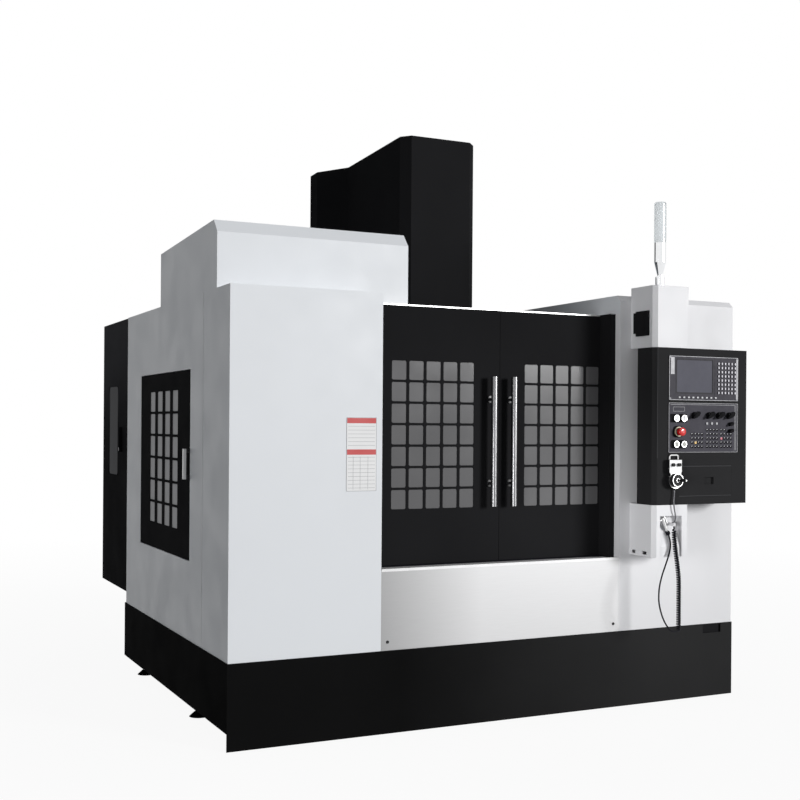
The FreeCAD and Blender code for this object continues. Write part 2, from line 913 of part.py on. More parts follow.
def make_changer():
    half = s.changer_box / 2
    box = block(changer_x - half, s.spindle_y - half, s.changer_bottom,
                changer_x + half, s.spindle_y + half, magazine_z + s.changer_above_axle)
    beam = block(changer_x - half, s.spindle_y + half - 1, s.changer_bottom,
                 changer_x + half, s.column_front, s.changer_bottom + s.changer_beam_height)
    collar_start = s.magazine_x + s.magazine_thickness + s.running_gap
    collar = rod("X", collar_start, s.spindle_y, magazine_z, s.magazine_collar_radius,
                 changer_x - half - collar_start + 1)
    axle = rod("X", s.magazine_x, s.spindle_y, magazine_z, s.magazine_axle_radius,
               s.magazine_thickness + 1)
    bore = rod("Z", changer_x, s.spindle_y, s.changer_bottom - 1,
               s.changer_shaft_radius + s.bearing_clearance,
               s.arm_top + s.changer_shaft_length - s.changer_bottom + 1 + s.running_gap * 2)
    settle("changer_bracket", cut(fuse(box, beam, collar, axle), bore))

    shaft = Body("changer_shaft")
    cap_low = s.arm_thickness + s.running_gap * 2 + s.arm_width / 7
    shaft.turn("XZ", "V_Axis",
               (zero, -cap_low), (s.changer_shaft_radius, -cap_low),
               (s.changer_shaft_radius, -s.arm_thickness - s.running_gap * 2),
               (s.arm_pin_radius, -s.arm_thickness - s.running_gap * 2),
               (s.arm_pin_radius, zero), (s.changer_shaft_radius, zero),
               (s.changer_shaft_radius, s.changer_shaft_length), (zero, s.changer_shaft_length))
    settle("changer_shaft", shaft.body, changer_x, s.spindle_y, s.arm_top)

    arm = Body("change_arm")
    top = -s.running_gap
    low = top - s.arm_thickness
    half = s.arm_width / 2
    arm.pad("XY", low, top, rectangle(-half, -s.arm_radius, half, s.arm_radius))
    arm.pad("XY", low, top, circle(zero, zero, s.arm_hub_radius))
    for side in (-1, 1):
        arm.pad("XY", low, top, circle(zero, side * s.arm_radius, s.arm_grip_radius))
    for side in (-1, 1):
        middle = side * s.arm_radius
        arm.pocket("XY", low - 1, top + 1, circle(zero, middle, s.arm_grip_bore))
        mouth = s.arm_grip_bore * 0.8
        arm.pocket("XY", low - 1, top + 1,
                   rectangle(zero, middle - mouth, side * s.arm_grip_radius * 1.1, middle + mouth))
    arm.pocket("XY", low - 1, top + 1, circle(zero, zero, s.arm_pin_radius + s.bearing_clearance))
    settle("change_arm", arm.body, changer_x, s.spindle_y, s.arm_top)


def make_magazine():
    plate = Body("magazine_plate")
    thick = s.magazine_thickness
    bore = s.magazine_axle_radius + s.bearing_clearance
    plate.turn("XZ", "H_Axis",
               (zero, bore), (thick, bore), (thick, bore * 3), (thick * 0.6, bore * 3.4),
               (thick * 0.6, s.magazine_radius), (thick * 0.2, s.magazine_radius),
               (thick * 0.2, bore * 3.4), (zero, bore * 3))
    pots = []
    count = SIZES["pot_count"]
    for i in range(count):
        angle = 2 * math.pi * i / count
        pot = doc.addObject("Part::Prism", "Pot")
        pot.Polygon = 8
        pot.Placement = FreeCAD.Placement(FreeCAD.Vector(), TURN_TO["X"])
        bind(pot, "Circumradius", s.pot_radius)
        bind(pot, "Height", s.pot_length)
        bind(pot, "Placement.Base.x", (thick - s.pot_length) / 2)
        bind(pot, "Placement.Base.y", s.pot_ring_radius * math.cos(angle))
        bind(pot, "Placement.Base.z", s.pot_ring_radius * math.sin(angle))
        pots.append(pot)
    settle("magazine_disc", fuse(plate.body, *pots), s.magazine_x, s.spindle_y, magazine_z)


# --- enclosure --------------------------------------------------------------------------------------

def make_left_panels():
    seam = s.side_door_front - s.seam_from_door
    corner = Body("left_corner_panel")
    t = s.sheet
    corner.pad("XY", s.base_height, s.enclosure_height,
               polygon((zero, zero), (s.opening_left, zero), (s.opening_left, t), (t, t),
                       (t, seam - t), (s.fold, seam - t), (s.fold, seam), (zero, seam)))
    settle("left_corner_panel", corner.body)

    side = Body("left_side_panel")
    gap = s.side_door_gap
    y0 = s.side_door_front - gap
    y1 = s.side_door_front + s.side_door_width + gap
    z0 = s.side_door_bottom - gap
    z1 = s.side_door_bottom + s.side_door_height + gap
    hole = rectangle(y0, z0, y1, z1)
    side.pad("YZ", zero, t, rectangle(seam, s.base_height, depth, s.enclosure_height), hole)
    frame = rectangle(y0 - t, z0 - t, y1 + t, z1 + t)
    stop = s.side_door_stop
    side.pad("YZ", zero, s.leaf_thickness, frame, hole)
    side.pad("YZ", s.leaf_thickness, s.leaf_thickness + t, frame,
             rectangle(y0 + stop, z0 + stop, y1 - stop, z1 - stop))
    side.pad("XY", s.base_height, s.enclosure_height,
             rectangle(zero, seam, s.fold, seam + t), rectangle(zero, depth - t, s.fold, depth))
    settle("left_side_panel", side.body)


def make_side_door():
    door = Body("side_door")
    y0 = s.side_door_front
    y1 = y0 + s.side_door_width
    z0 = s.side_door_bottom
    z1 = z0 + s.side_door_height
    t = s.sheet
    door.pad("YZ", zero, s.leaf_thickness, rectangle(y0, z0, y1, z1))
    door.pocket("YZ", t, s.leaf_thickness + 1, rectangle(y0 + t, z0 + t, y1 - t, z1 - t))
    cell_y = y0 + s.side_cells_from_front
    cell_z = z0 + s.side_cells_from_bottom
    cell = door.pocket("YZ", zero - 1, t + 1,
                       rounded(cell_y, cell_z, cell_y + s.side_cell_width, cell_z + s.side_cell_height,
                               s.cell_corner))
    door.grid(cell, s.side_cell_pitch_across, s.side_cell_columns, s.side_cell_pitch_up, s.side_cell_rows)
    bar_y = y0 + s.side_handle_inset
    bar_low = s.side_handle_bottom
    bar_high = bar_low + s.side_handle_length
    wide = s.side_handle_width
    settle("side_door", door.body)

    handle = Body("side_door_handle")
    handle.pad("YZ", -s.side_handle_reach, -s.side_handle_bar,
               rectangle(bar_y, bar_low, bar_y + wide, bar_high))
    handle.pad("YZ", -s.side_handle_bar, zero,
               rectangle(bar_y, bar_low, bar_y + wide, bar_low + wide),
               rectangle(bar_y, bar_high - wide, bar_y + wide, bar_high))
    settle("side_door_handle", handle.body)

    m = s.glass_margin
    wide = s.side_cell_pitch_across * (s.side_cell_columns - 1) + s.side_cell_width
    high = s.side_cell_pitch_up * (s.side_cell_rows - 1) + s.side_cell_height
    pane = block(zero, zero, zero, s.glass_thickness, wide + m * 2, high + m * 2)
    settle("side_door_glass", pane, t, cell_y - m, cell_z - m)


def make_right_panels():
    t = s.sheet
    front = Body("right_front_panel")
    front.pad("YZ", s.wall_left, right_face,
              polygon((zero, s.base_height), (t, s.base_height), (t, bevel_inside_low),
                      (s.roof_bevel, bevel_inside_high), (s.roof_bevel, right_height),
                      (zero, right_face_top)))
    front.pad("XY", s.apron_top, rail_top, rectangle(s.wall_left, zero, s.wall_left + t, s.jamb_front))
    settle("right_front_panel", front.body)

    side = Body("right_side_panel")
    side.pad("YZ", right_face - t, right_face,
             polygon((t, s.base_height), (depth, s.base_height), (depth, under_roof),
                     (s.roof_bevel, under_roof), (s.roof_bevel, bevel_inside_high),
                     (t, bevel_inside_low)))
    settle("right_side_panel", side.body)


def make_roof():
    t = s.sheet
    top = s.enclosure_height
    roof = Body("right_roof")
    roof.pad("XY", under_roof, right_height, rectangle(s.wall_left, s.roof_bevel, right_face, depth))
    roof.pad("YZ", s.wall_left, s.wall_left + t,
              polygon((t, rail_top), (depth - t, rail_top), (depth - t, under_roof), (s.roof_bevel, under_roof),
                      (s.roof_bevel, bevel_inside_high), (t, bevel_inside_low)))
    strip = block(t, t, top - t, s.opening_left, s.cover_front, top)
    tower_left = centre - s.tower_splay_half_width
    rear = block(t, s.cover_rear, top - t, tower_left + t, depth - t, top)
    behind = block(tower_left, s.tower_rear - t, top - t, s.wall_left + t, depth - t, top)
    left = block(s.fold, depth - t, s.base_height, tower_left, depth, top)
    right = block(centre + s.tower_splay_half_width, depth - t, s.base_height, right_face - t, depth,
                  under_roof)
    settle("roof_panels", fuse(roof.body, strip, rear, behind, left, right))


def make_front():
    t = s.sheet
    apron = Body("front_apron")
    apron.pad("YZ", s.opening_left, s.wall_left,
              polygon((zero, s.base_height), (t, s.base_height), (t, s.apron_top - t),
                      (s.door_recess, s.apron_top - t), (s.door_recess, s.apron_top), (zero, s.apron_top)))
    settle("front_apron", apron.body)
    head = block(t, rail_front, door_top + s.running_gap, right_face - t, rail_rear, rail_top)
    sill = block(t, s.door_recess, sill_top - s.sill_height, right_face - t, rail_rear, sill_top)
    settle("door_rails", fuse(head, sill))
    left = block(s.opening_left - t, t, s.apron_top, s.opening_left, rail_front, rail_top)
    right = block(s.opening_right, s.jamb_front, s.apron_top, s.opening_right + t, rail_front, rail_top)
    flange = block(s.opening_right, s.jamb_front, s.apron_top, s.wall_left, s.jamb_front + t, rail_top)
    settle("door_jambs", fuse(left, right, flange))


def make_door(side, name):
    """One sliding leaf with its pane and handle; side is -1 on the left and 1 on the right."""
    t = s.sheet
    front = s.door_recess
    rear = front + s.leaf_thickness
    near = s.door_seam + side * s.leaf_gap / 2
    far = near + side * s.leaf_width
    left = near if side > 0 else far
    right = far if side > 0 else near
    leaf = Body(name + "_door")
    leaf.pad("XZ", front, rear, rectangle(left, s.door_bottom, right, door_top))
    leaf.pocket("XZ", front + t, rear + 1,
                rectangle(left + t, s.door_bottom + t, right - t, door_top - t))
    wide = s.cell_pitch_across * (s.cell_columns - 1) + s.cell_width
    high = s.cell_pitch_up * (s.cell_rows - 1) + s.cell_height
    cell_x = s.door_seam + s.cells_from_seam if side > 0 else s.door_seam - s.cells_from_seam - wide
    cell_z = s.cells_bottom
    cell = leaf.pocket("XZ", front - 1, front + t + 1,
                       rounded(cell_x, cell_z, cell_x + s.cell_width, cell_z + s.cell_height, s.cell_corner))
    leaf.grid(cell, s.cell_pitch_across, s.cell_columns, s.cell_pitch_up, s.cell_rows)
    settle(name + "_door", leaf.body)
    m = s.glass_margin
    pane = block(zero, zero, zero, wide + m * 2, s.glass_thickness, high + m * 2)
    settle(name + "_door_glass", pane, cell_x - m, front + t, cell_z - m)
    x = s.door_seam + side * s.handle_from_seam
    y = front - s.handle_standoff
    tube = rod("Z", x, y, s.handle_bottom, s.handle_radius, s.handle_length)
    posts = []
    for z in (s.handle_bottom + s.handle_post_inset, s.handle_bottom + s.handle_length - s.handle_post_inset):
        posts.append(rod("Y", x, y, z, s.handle_post_radius, s.handle_standoff))
        posts.append(rod("Y", x, front - s.rosette_thickness, z, s.rosette_radius, s.rosette_thickness))
    settle(name + "_door_handle", fuse(tube, *posts))


def make_magazine_cover():
    cover = Body("magazine_cover")
    t = s.sheet
    shelf = s.enclosure_height
    bevel_top = cover_face_top + s.cover_bevel_height
    bevel_rear = s.cover_front + s.cover_bevel_depth
    cover.pad("YZ", zero, s.cover_width,
              polygon((s.cover_front, shelf), (s.cover_rear, shelf), (s.cover_rear, cover_rear_top),
                      (bevel_rear, bevel_top), (s.cover_front, cover_face_top)))
    cover.pocket("YZ", t, s.cover_width - t,
                 polygon((s.cover_front + t, shelf - 1), (s.cover_rear - t, shelf - 1),
                         (s.cover_rear - t, cover_rear_top - t), (bevel_rear + t / 2, bevel_top - t),
                         (s.cover_front + t, cover_face_top - t / 2)))
    cover.pad("XZ", s.cover_front, s.cover_front + t,
              rectangle(s.opening_left, rail_top, s.cover_width, shelf + 1))
    settle("magazine_cover", cover.body)


def tower_prism(name, inset, low, top_drop):
    """The tower's plan outline, drawn in by an inset, under its sloping top."""
    prism = Body(name)
    front = s.tower_front + inset
    rear = s.tower_rear - inset
    half = s.tower_half_width - inset
    wide = s.tower_splay_half_width - inset
    corner = s.tower_corner
    side = [(half - corner, front), (half, front + corner), (half, s.tower_splay_start + inset / 2),
            (wide, s.tower_splay_end + inset / 2), (wide, rear)]
    right = [(centre + x, y) for x, y in side]
    left = [(centre - x, y) for x, y in reversed(side)]
    front_top = s.tower_front_top - top_drop
    rear_top = s.tower_rear_top - top_drop
    spare = 20
    prism.pad("XY", low, front_top + spare / 2, polygon(*right, *left))
    slope = (front_top - rear_top) / (s.tower_rear - s.tower_front)
    before = s.tower_front - spare
    behind = s.tower_rear + spare
    prism.pocket("YZ", centre - s.tower_splay_half_width - 1, centre + s.tower_splay_half_width + 1,
                 polygon((before, front_top + slope * spare), (behind, rear_top - slope * spare),
                         (behind, front_top + spare), (before, front_top + spare)))
    return prism.body


def make_tower_cover():
    outer = tower_prism("tower_outer", zero, s.enclosure_height, zero)
    inner = tower_prism("tower_inner", s.sheet, s.enclosure_height - 1, s.sheet)
    settle("tower_cover", cut(outer, inner))


def make_cabinet():
    t = s.sheet
    left = s.cabinet_door_thickness + s.running_gap
    right = s.cabinet_width
    front = depth
    rear = depth + s.cabinet_depth
    low = s.cabinet_bottom
    high = low + s.cabinet_height
    shell = Body("electrical_cabinet")
    shell.pad("XY", low, high, rectangle(left, front, right, rear))
    shell.pocket("YZ", left - 1, right - t, rectangle(front + t, low + t, rear - t, high - t))
    first = front + (s.cabinet_depth - s.drive_pitch * (s.drive_count - 1) - s.drive_width) / 2
    middle = (low + high) / 2
    drive = shell.pad("YZ", right - t - s.drive_depth, right - t / 2,
                      rectangle(first, middle, first + s.drive_width, middle + s.drive_height))
    shell.grid(drive, s.drive_pitch, s.drive_count)
    settle("electrical_cabinet", shell.body)

    door = Body("cabinet_door")
    m = s.cabinet_door_margin
    rim = s.cabinet_rim
    thick = s.cabinet_door_thickness
    door.pad("YZ", zero, thick, rectangle(front + m, low + m, rear - m, high - m))
    door.pocket("YZ", s.cabinet_skin, thick + 1,
                rectangle(front + m + rim, low + m + rim, rear - m - rim, high - m - rim))
    window_y = front + s.cabinet_window_from_front
    window_z = s.cabinet_window_bottom
    door.pocket("YZ", zero - 1, s.cabinet_skin / 2,
                rectangle(window_y, window_z, window_y + s.cabinet_window_width,
                          window_z + s.cabinet_window_height))
    pull_y = front + s.cabinet_handle_from_front
    pull_z = s.cabinet_handle_bottom
    door.pad("YZ", -s.cabinet_handle_reach, zero,
             rectangle(pull_y, pull_z, pull_y + s.cabinet_handle_width, pull_z + s.cabinet_handle_length))
    settle("cabinet_door", door.body)


# --- pendant arm ------------------------------------------------------------------------------------

def arm_outline(right, rear, inset):
    """Plan of a block or of the pendant, with its bevelled front left edge, drawn in by an inset."""
    left = s.pendant_left + inset
    front = pendant_front + inset
    corner = s.pendant_corner - inset * 0.4
    return polygon((left, rear), (left, front + corner), (left + corner, front), (right - inset, front),
                   (right - inset, rear))


def make_upper_block():
    upper = Body("upper_arm_block")
    low = s.pendant_top + s.running_gap
    wall = s.pendant_wall
    pivot = circle(s.pivot_x, -s.pivot_y, s.pivot_radius)
    upper.pad("XY", low, s.block_top, arm_outline(s.block_right, zero, zero))
    upper.pocket("XY", low + wall, s.block_top - wall, arm_outline(s.block_right, dim(1), wall))
    upper.pad("XY", low - s.pivot_length, low + 1, pivot)
    settle("upper_arm_block", upper.body)

    left = s.pendant_left
    case = block(left - s.latch_reach, -s.latch_front, s.latch_bottom, left, -s.latch_rear,
                 s.latch_bottom + s.latch_height)
    tab = block(left - s.latch_reach * 0.8, -s.latch_rear - 1, s.latch_bottom + s.latch_tab / 1.5, left,
                s.latch_tab - s.latch_rear, s.latch_bottom + s.latch_height - s.latch_tab / 4)
    ridge = block(left - s.latch_reach - s.latch_ridge_width / 3, -s.latch_ridge - s.latch_ridge_width / 2,
                  s.latch_bottom, left, -s.latch_ridge + s.latch_ridge_width / 2,
                  s.latch_bottom + s.latch_height)
    settle("arm_latch_box", fuse(case, tab, ridge))


def make_lower_block():
    high = s.pendant_bottom - s.running_gap
    wall = s.pendant_wall
    lower = Body("lower_block")
    lower.pad("XY", s.block_bottom, high, arm_outline(s.block_right, zero, zero))
    back = pendant_front + s.niche_depth
    foot = pendant_front + s.niche_foot_depth
    lower.pocket("YZ", s.niche_left, s.niche_right,
                 polygon((pendant_front - 1, s.block_bottom - 1), (foot, s.block_bottom - 1),
                         (foot, s.niche_break), (back, s.niche_top), (pendant_front - 1, s.niche_top)))
    lower.pocket("XY", s.block_bottom + wall, high - wall,
                 rectangle(s.pendant_left + wall, back + s.niche_foot_depth, s.block_right - wall, dim(1)))
    lower.pad("XY", high - 1, high + s.pivot_length, circle(s.pivot_x, -s.pivot_y, s.pivot_radius))
    grip_low = s.block_bottom + s.grip_rise
    grip_high = grip_low + s.grip_height
    first = s.grip_pocket - s.grip_front
    second = -s.grip_rear - s.grip_pocket
    lower.pocket("YZ", s.pendant_left - 1, s.pendant_left + wall + 1,
                 rectangle(-s.grip_front, grip_low, first, grip_high),
                 rectangle(second, grip_low, -s.grip_rear, grip_high))
    grip = block(s.pendant_left - s.grip_proud, first, grip_low, s.pendant_left + 1, second, grip_high)
    elbow_z = s.fitting_bottom + s.fitting_radius
    elbow = rod("Y", s.fitting_x, -s.fitting_y, elbow_z, s.fitting_radius, back + s.fitting_y)
    spout = rod("Z", s.fitting_x, -s.fitting_y, s.fitting_bottom, s.fitting_radius, s.fitting_radius * 2)
    x, z = beside_gun(zero, s.gun_length / 2)
    holder = block(x - s.gun_radius, -s.gun_y + s.gun_radius, z - s.gun_radius,
                   x + s.gun_radius, back, z + s.gun_radius)
    settle("lower_arm_block", fuse(lower.body, grip, elbow, spout, holder))


def make_signal_lamp():
    stem = Body("signal_lamp_stem")
    height = s.lamp_stem_height
    foot = s.lamp_foot_height
    neck = s.lamp_neck_radius
    stem.turn("XZ", "V_Axis",
              (zero, zero), (s.lamp_foot_radius, zero), (s.lamp_foot_radius, foot * 0.9),
              (s.lamp_foot_radius - 3, foot), (neck, foot + 2), (neck, foot + 6),
              (s.lamp_radius, s.lamp_shoulder), (s.lamp_radius, height), (zero, height))
    settle("signal_lamp_stem", stem.body, s.lamp_x, -s.lamp_y, s.block_top)
    lens = Body("signal_lamp_lens")
    top = s.lamp_lens_height
    lens.turn("XZ", "V_Axis",
              (zero, zero), (s.lamp_radius, zero), (s.lamp_radius, top - 7), (s.lamp_radius - 5, top),
              (zero, top))
    settle("signal_lamp_lens", lens.body, s.lamp_x, -s.lamp_y, s.block_top + height)


def beside_gun(across, along):
    """The X and Z of a point beside the leaning gun's axis, counted from the low end of its barrel."""
    angle = math.radians(SIZES["gun_tilt"])
    x = s.gun_x + across * math.cos(angle) - along * math.sin(angle)
    z = s.gun_bottom + across * math.sin(angle) + along * math.cos(angle)
    return x, z


def make_air_gun():
    top = s.gun_length
    barrel = rod("Z", zero, zero, zero, s.gun_radius, top)
    head = rod("Z", zero, zero, top - s.gun_head_length, s.gun_head_radius, s.gun_head_length)
    inlet = rod("Z", zero, zero, -s.gun_inlet_length, s.gun_inlet_radius, s.gun_inlet_length + 1)
    nozzle = rod("X", -s.gun_head_radius - s.gun_nozzle_length, zero, top - s.gun_head_length / 2,
                 s.gun_nozzle_radius, s.gun_nozzle_length + s.gun_nozzle_radius)
    lever_x = s.gun_radius + s.trigger_gap
    lug = block(s.gun_radius - 2, -s.trigger_width / 2, top - s.gun_head_length / 3,
                lever_x + s.trigger_thickness, s.trigger_width / 2, top)
    lean = FreeCAD.Rotation(FreeCAD.Vector(0, -1, 0), SIZES["gun_tilt"])
    gun = fuse(barrel, head, inlet, nozzle, lug)
    gun.Placement = FreeCAD.Placement(FreeCAD.Vector(), lean)
    settle("air_gun", gun, s.gun_x, -s.gun_y, s.gun_bottom)
    lever_top = top - s.gun_head_length / 3 - s.seat_gap
    lever = block(zero, zero, zero, s.trigger_thickness, s.trigger_width, s.trigger_length)
    lever.Placement = FreeCAD.Placement(FreeCAD.Vector(), lean)
    x, z = beside_gun(lever_x, lever_top - s.trigger_length)
    settle("air_gun_trigger", lever, x, -s.gun_y - s.trigger_width / 2, z)


# --- pendant ----------------------------------------------------------------------------------------

def make_pendant_case():
    case = Body("pendant_case")
    wall = s.pendant_wall
    low = s.pendant_bottom
    high = s.pendant_top
    rear = -s.pendant_back
    case.pad("XY", low, high, arm_outline(s.pendant_right, rear, zero))
    case.pocket("XY", low + wall, high - wall, arm_outline(s.pendant_right, rear - wall, wall))
    rim = s.unit_rim
    windows = [
        rectangle(s.unit_left + rim, s.unit_bottom + rim, s.unit_left + s.unit_width - rim,
                  s.unit_bottom + s.unit_height - rim),
        rectangle(s.panel_left + rim, s.panel_bottom + rim, s.panel_left + s.panel_width - rim,
                  s.panel_bottom + s.panel_height - rim),
        rectangle(flap_left - s.flap_gap, s.flap_bottom - s.flap_gap,
                  flap_left + s.flap_width + s.flap_gap, s.flap_bottom + s.flap_height + s.flap_gap),
    ]
    case.pocket("XZ", pendant_front - 1, pendant_front + wall + 1, *windows)
    case.pocket("XZ", pendant_front - 1, pendant_front + s.pendant_seam_width / 2,
                rectangle(s.pendant_left - 1, s.pendant_seam, s.pendant_right + 1,
                          s.pendant_seam + s.pendant_seam_width))
    bore = s.pivot_radius + s.bearing_clearance
    case.pocket("XY", low - 1, low + wall + 1, circle(s.pivot_x, -s.pivot_y, bore))
    case.pocket("XY", high - wall - 1, high + 1, circle(s.pivot_x, -s.pivot_y, bore))
    settle("pendant_case", case.body)

    flap = Body("pendant_flap")
    flap.pad("XZ", pendant_front, pendant_front + s.flap_thickness,
             rectangle(flap_left, s.flap_bottom, flap_left + s.flap_width, s.flap_bottom + s.flap_height))
    flap.pocket("XZ", pendant_front - 1, pendant_front + s.pull_depth,
                rectangle(s.pull_left, s.pull_bottom, s.pull_left + s.pull_width,
                          s.pull_bottom + s.pull_height))
    settle("pendant_flap", flap.body)


def make_control_unit():
    unit = Body("control_unit")
    rim = s.unit_rim + s.seat_gap
    left = s.unit_left
    low = s.unit_bottom
    right = left + s.unit_width
    high = low + s.unit_height
    unit.pad("XZ", plate_front, pendant_front, rectangle(left, low, right, high))
    unit.pad("XZ", pendant_front, pendant_front + s.unit_depth,
             rectangle(left + rim, low + rim, right - rim, high - rim))
    unit.pocket("XZ", plate_front - 1, plate_front + s.screen_recess,
                rectangle(s.screen_left, s.screen_bottom, s.screen_left + s.screen_width,
                          s.screen_bottom + s.screen_height))
    size = s.key_size
    key_front = plate_front - s.key_height
    x = s.unit_key_left
    z = s.unit_key_bottom
    key = unit.pad("XZ", key_front, plate_front, rectangle(x, z, x + size, z + size))
    unit.grid(key, s.unit_key_pitch_across, s.unit_key_columns, s.unit_key_pitch_up, s.unit_key_rows)
    x = s.soft_key_left
    z = s.soft_key_bottom
    key = unit.pad("XZ", key_front, plate_front, rectangle(x, z, x + size, z + size * 0.7))
    unit.grid(key, s.soft_key_pitch, s.soft_key_count)
    settle("control_unit", unit.body)


def make_operator_panel():
    panel = Body("operator_panel")
    rim = s.unit_rim + s.seat_gap
    left = s.panel_left
    low = s.panel_bottom
    right = left + s.panel_width
    high = low + s.panel_height
    panel.pad("XZ", plate_front, pendant_front, rectangle(left, low, right, high))
    panel.pad("XZ", pendant_front, pendant_front + s.panel_backing,
              rectangle(left + rim, low + rim, right - rim, high - rim))
    bezels = [circle(x, z, s.switch_bezel_radius)
              for x in (s.switch_first, s.switch_second) for z in (s.key_switch_z, s.lit_button_z)]
    panel.pad("XZ", plate_front - s.switch_bezel_height, plate_front, *bezels)
    panel.pad("XZ", plate_front - s.stop_collar_height, plate_front,
              circle(s.stop_x, s.stop_z, s.stop_collar_radius))
    size = s.key_size
    pitch = s.panel_key_pitch
    key_front = plate_front - s.key_height
    columns = s.panel_keys_columns
    for left, rows in ((s.left_keys_left, s.panel_keys_rows), (s.middle_keys_left, s.middle_keys_rows),
                       (s.right_keys_left, s.panel_keys_rows)):
        z = s.panel_keys_bottom
        key = panel.pad("XZ", key_front, plate_front, rectangle(left, z, left + size, z + size))
        panel.grid(key, pitch, columns, pitch, rows)
    x = s.right_keys_left
    z = s.panel_keys_bottom + pitch * s.panel_keys_rows
    key = panel.pad("XZ", key_front, plate_front, rectangle(x, z, x + size, z + size))
    panel.grid(key, pitch, s.right_keys_extra)
    x = s.light_left
    z = s.light_bottom
    key = panel.pad("XZ", key_front, plate_front, rectangle(x, z, x + size, z + size))
    panel.grid(key, s.light_pitch, s.light_count)
    clear = s.bearing_clearance
    holes = [circle(x, s.knob_z, s.knob_shaft_radius + clear) for x in knob_xs]
    holes += [circle(s.axis_switch_x, z, s.knob_shaft_radius + clear) for z in axis_switch_zs]
    holes += [circle(x, s.key_switch_z, s.knob_shaft_radius + clear) for x in (s.switch_first, s.switch_second)]
    holes += [circle(x, s.lit_button_z, s.button_stem_radius + clear) for x in (s.switch_first, s.switch_second)]
    holes.append(circle(s.stop_x, s.stop_z, s.stop_stem_radius + clear))
    panel.pocket("XZ", plate_front - s.stop_collar_height - 1, pendant_front + s.panel_backing + 1, *holes)
    settle("operator_panel", panel.body)


knob_xs = (s.knob_first, s.knob_second, s.knob_third, s.knob_fourth)
axis_switch_zs = (s.axis_switch_z, s.axis_switch_z - s.axis_switch_drop)


def make_turn_knob(name, radius, height, x, seat, z):
    """A knob on a shaft, with a raised grip across its face; seat is the face that it stands on."""
    knob = Body(name)
    gap = -s.seat_gap
    face = gap - height
    knob.turn("XY", "V_Axis",
              (zero, s.panel_backing), (s.knob_shaft_radius, s.panel_backing), (s.knob_shaft_radius, gap),
              (radius, gap), (radius * 0.85, face), (zero, face))
    knob.pad("XZ", face - height / 4, face,
             rectangle(-radius * 0.25, -radius * 0.8, radius * 0.25, radius * 0.8))
    settle(name, knob.body, x, seat, z)


def make_push_button(name, radius, rim, height, stem, stand, x, seat, z):
    """A button on a stem; stand is how far it is held off its seat, so that it can travel."""
    button = Body(name)
    base = -stand
    face = base - height
    button.turn("XY", "V_Axis",
                (zero, s.panel_backing), (stem, s.panel_backing), (stem, base), (radius, base),
                (radius, face + rim), (radius - rim, face), (zero, face))
    settle(name, button.body, x, seat, z)


def make_panel_controls():
    for i, x in enumerate(knob_xs, 1):
        make_turn_knob(f"override_knob_{i}", s.knob_radius, s.knob_height, x, plate_front, s.knob_z)
    for i, z in enumerate(axis_switch_zs, 1):
        make_turn_knob(f"axis_switch_{i}", s.axis_switch_radius, s.knob_height * 0.8, s.axis_switch_x,
                       plate_front, z)
    bezel_front = plate_front - s.switch_bezel_height
    for i, x in enumerate((s.switch_first, s.switch_second), 1):
        make_turn_knob(f"key_switch_{i}", s.switch_radius, s.switch_height, x, bezel_front, s.key_switch_z)
        make_push_button(f"lit_button_{i}", s.switch_radius, s.seat_gap * 5, s.switch_height / 2,
                         s.button_stem_radius, s.stop_travel, x, bezel_front, s.lit_button_z)
    make_push_button("stop_button", s.stop_radius, s.stop_head / 3, s.stop_head, s.stop_stem_radius,
                     s.stop_travel * 2, s.stop_x, plate_front - s.stop_collar_height, s.stop_z)


def make_hand_wheel():
    unit = Body("hand_wheel_unit")
    x = s.wheel_x
    z = s.wheel_z
    half = s.wheel_case_width / 2
    back = pendant_front
    unit.pad("XZ", wheel_face, back, rectangle(x - half, z + half, x + half, s.wheel_case_top))
    unit.pad("XZ", wheel_face, back, rectangle(x - half * 0.7, z, x + half * 0.7, z + half + 1))
    unit.pad("XZ", wheel_face, back, circle(x, z, s.wheel_case_radius))
    for side in (-1, 1):
        unit.pad("XZ", wheel_face - s.wheel_knob_height, wheel_face,
                 circle(x + side * s.wheel_knob_half_spacing, s.wheel_knob_z, s.wheel_knob_radius))
    hook_x = x + s.hook_shift
    hook = s.hook_width / 2
    wire = s.hook_wire
    top = s.wheel_case_top
    unit.pad("XZ", back - wire * 2, back - wire,
             rectangle(hook_x - hook, top - 1, hook_x + hook, top + s.hook_height),
             rectangle(hook_x - hook + wire, top, hook_x + hook - wire, top + s.hook_height - wire))
    unit.pad("XY", z - s.wheel_case_radius - s.gland_length, z - s.wheel_case_radius + s.gland_radius,
             circle(s.gland_x, -s.gland_y, s.gland_radius))
    unit.pocket("XZ", wheel_face - 1, back - s.wheel_case_depth / 3,
                circle(x, z, s.wheel_shaft_radius + s.bearing_clearance))
    settle("hand_wheel_unit", unit.body)

    wheel = Body("hand_wheel")
    gap = -s.seat_gap
    face = gap - s.wheel_thickness
    bore_depth = s.wheel_case_depth / 2
    wheel.turn("XY", "V_Axis",
               (zero, bore_depth), (s.wheel_shaft_radius, bore_depth), (s.wheel_shaft_radius, gap),
               (s.wheel_radius, gap), (s.wheel_radius, face + 3), (s.wheel_radius - 3, face), (zero, face))
    wheel.pad("XZ", face - s.crank_length, face, circle(s.crank_offset, zero, s.crank_radius))
    settle("hand_wheel", wheel.body, x, wheel_face, z)


# --- hose and cord ----------------------------------------------------------------------------------

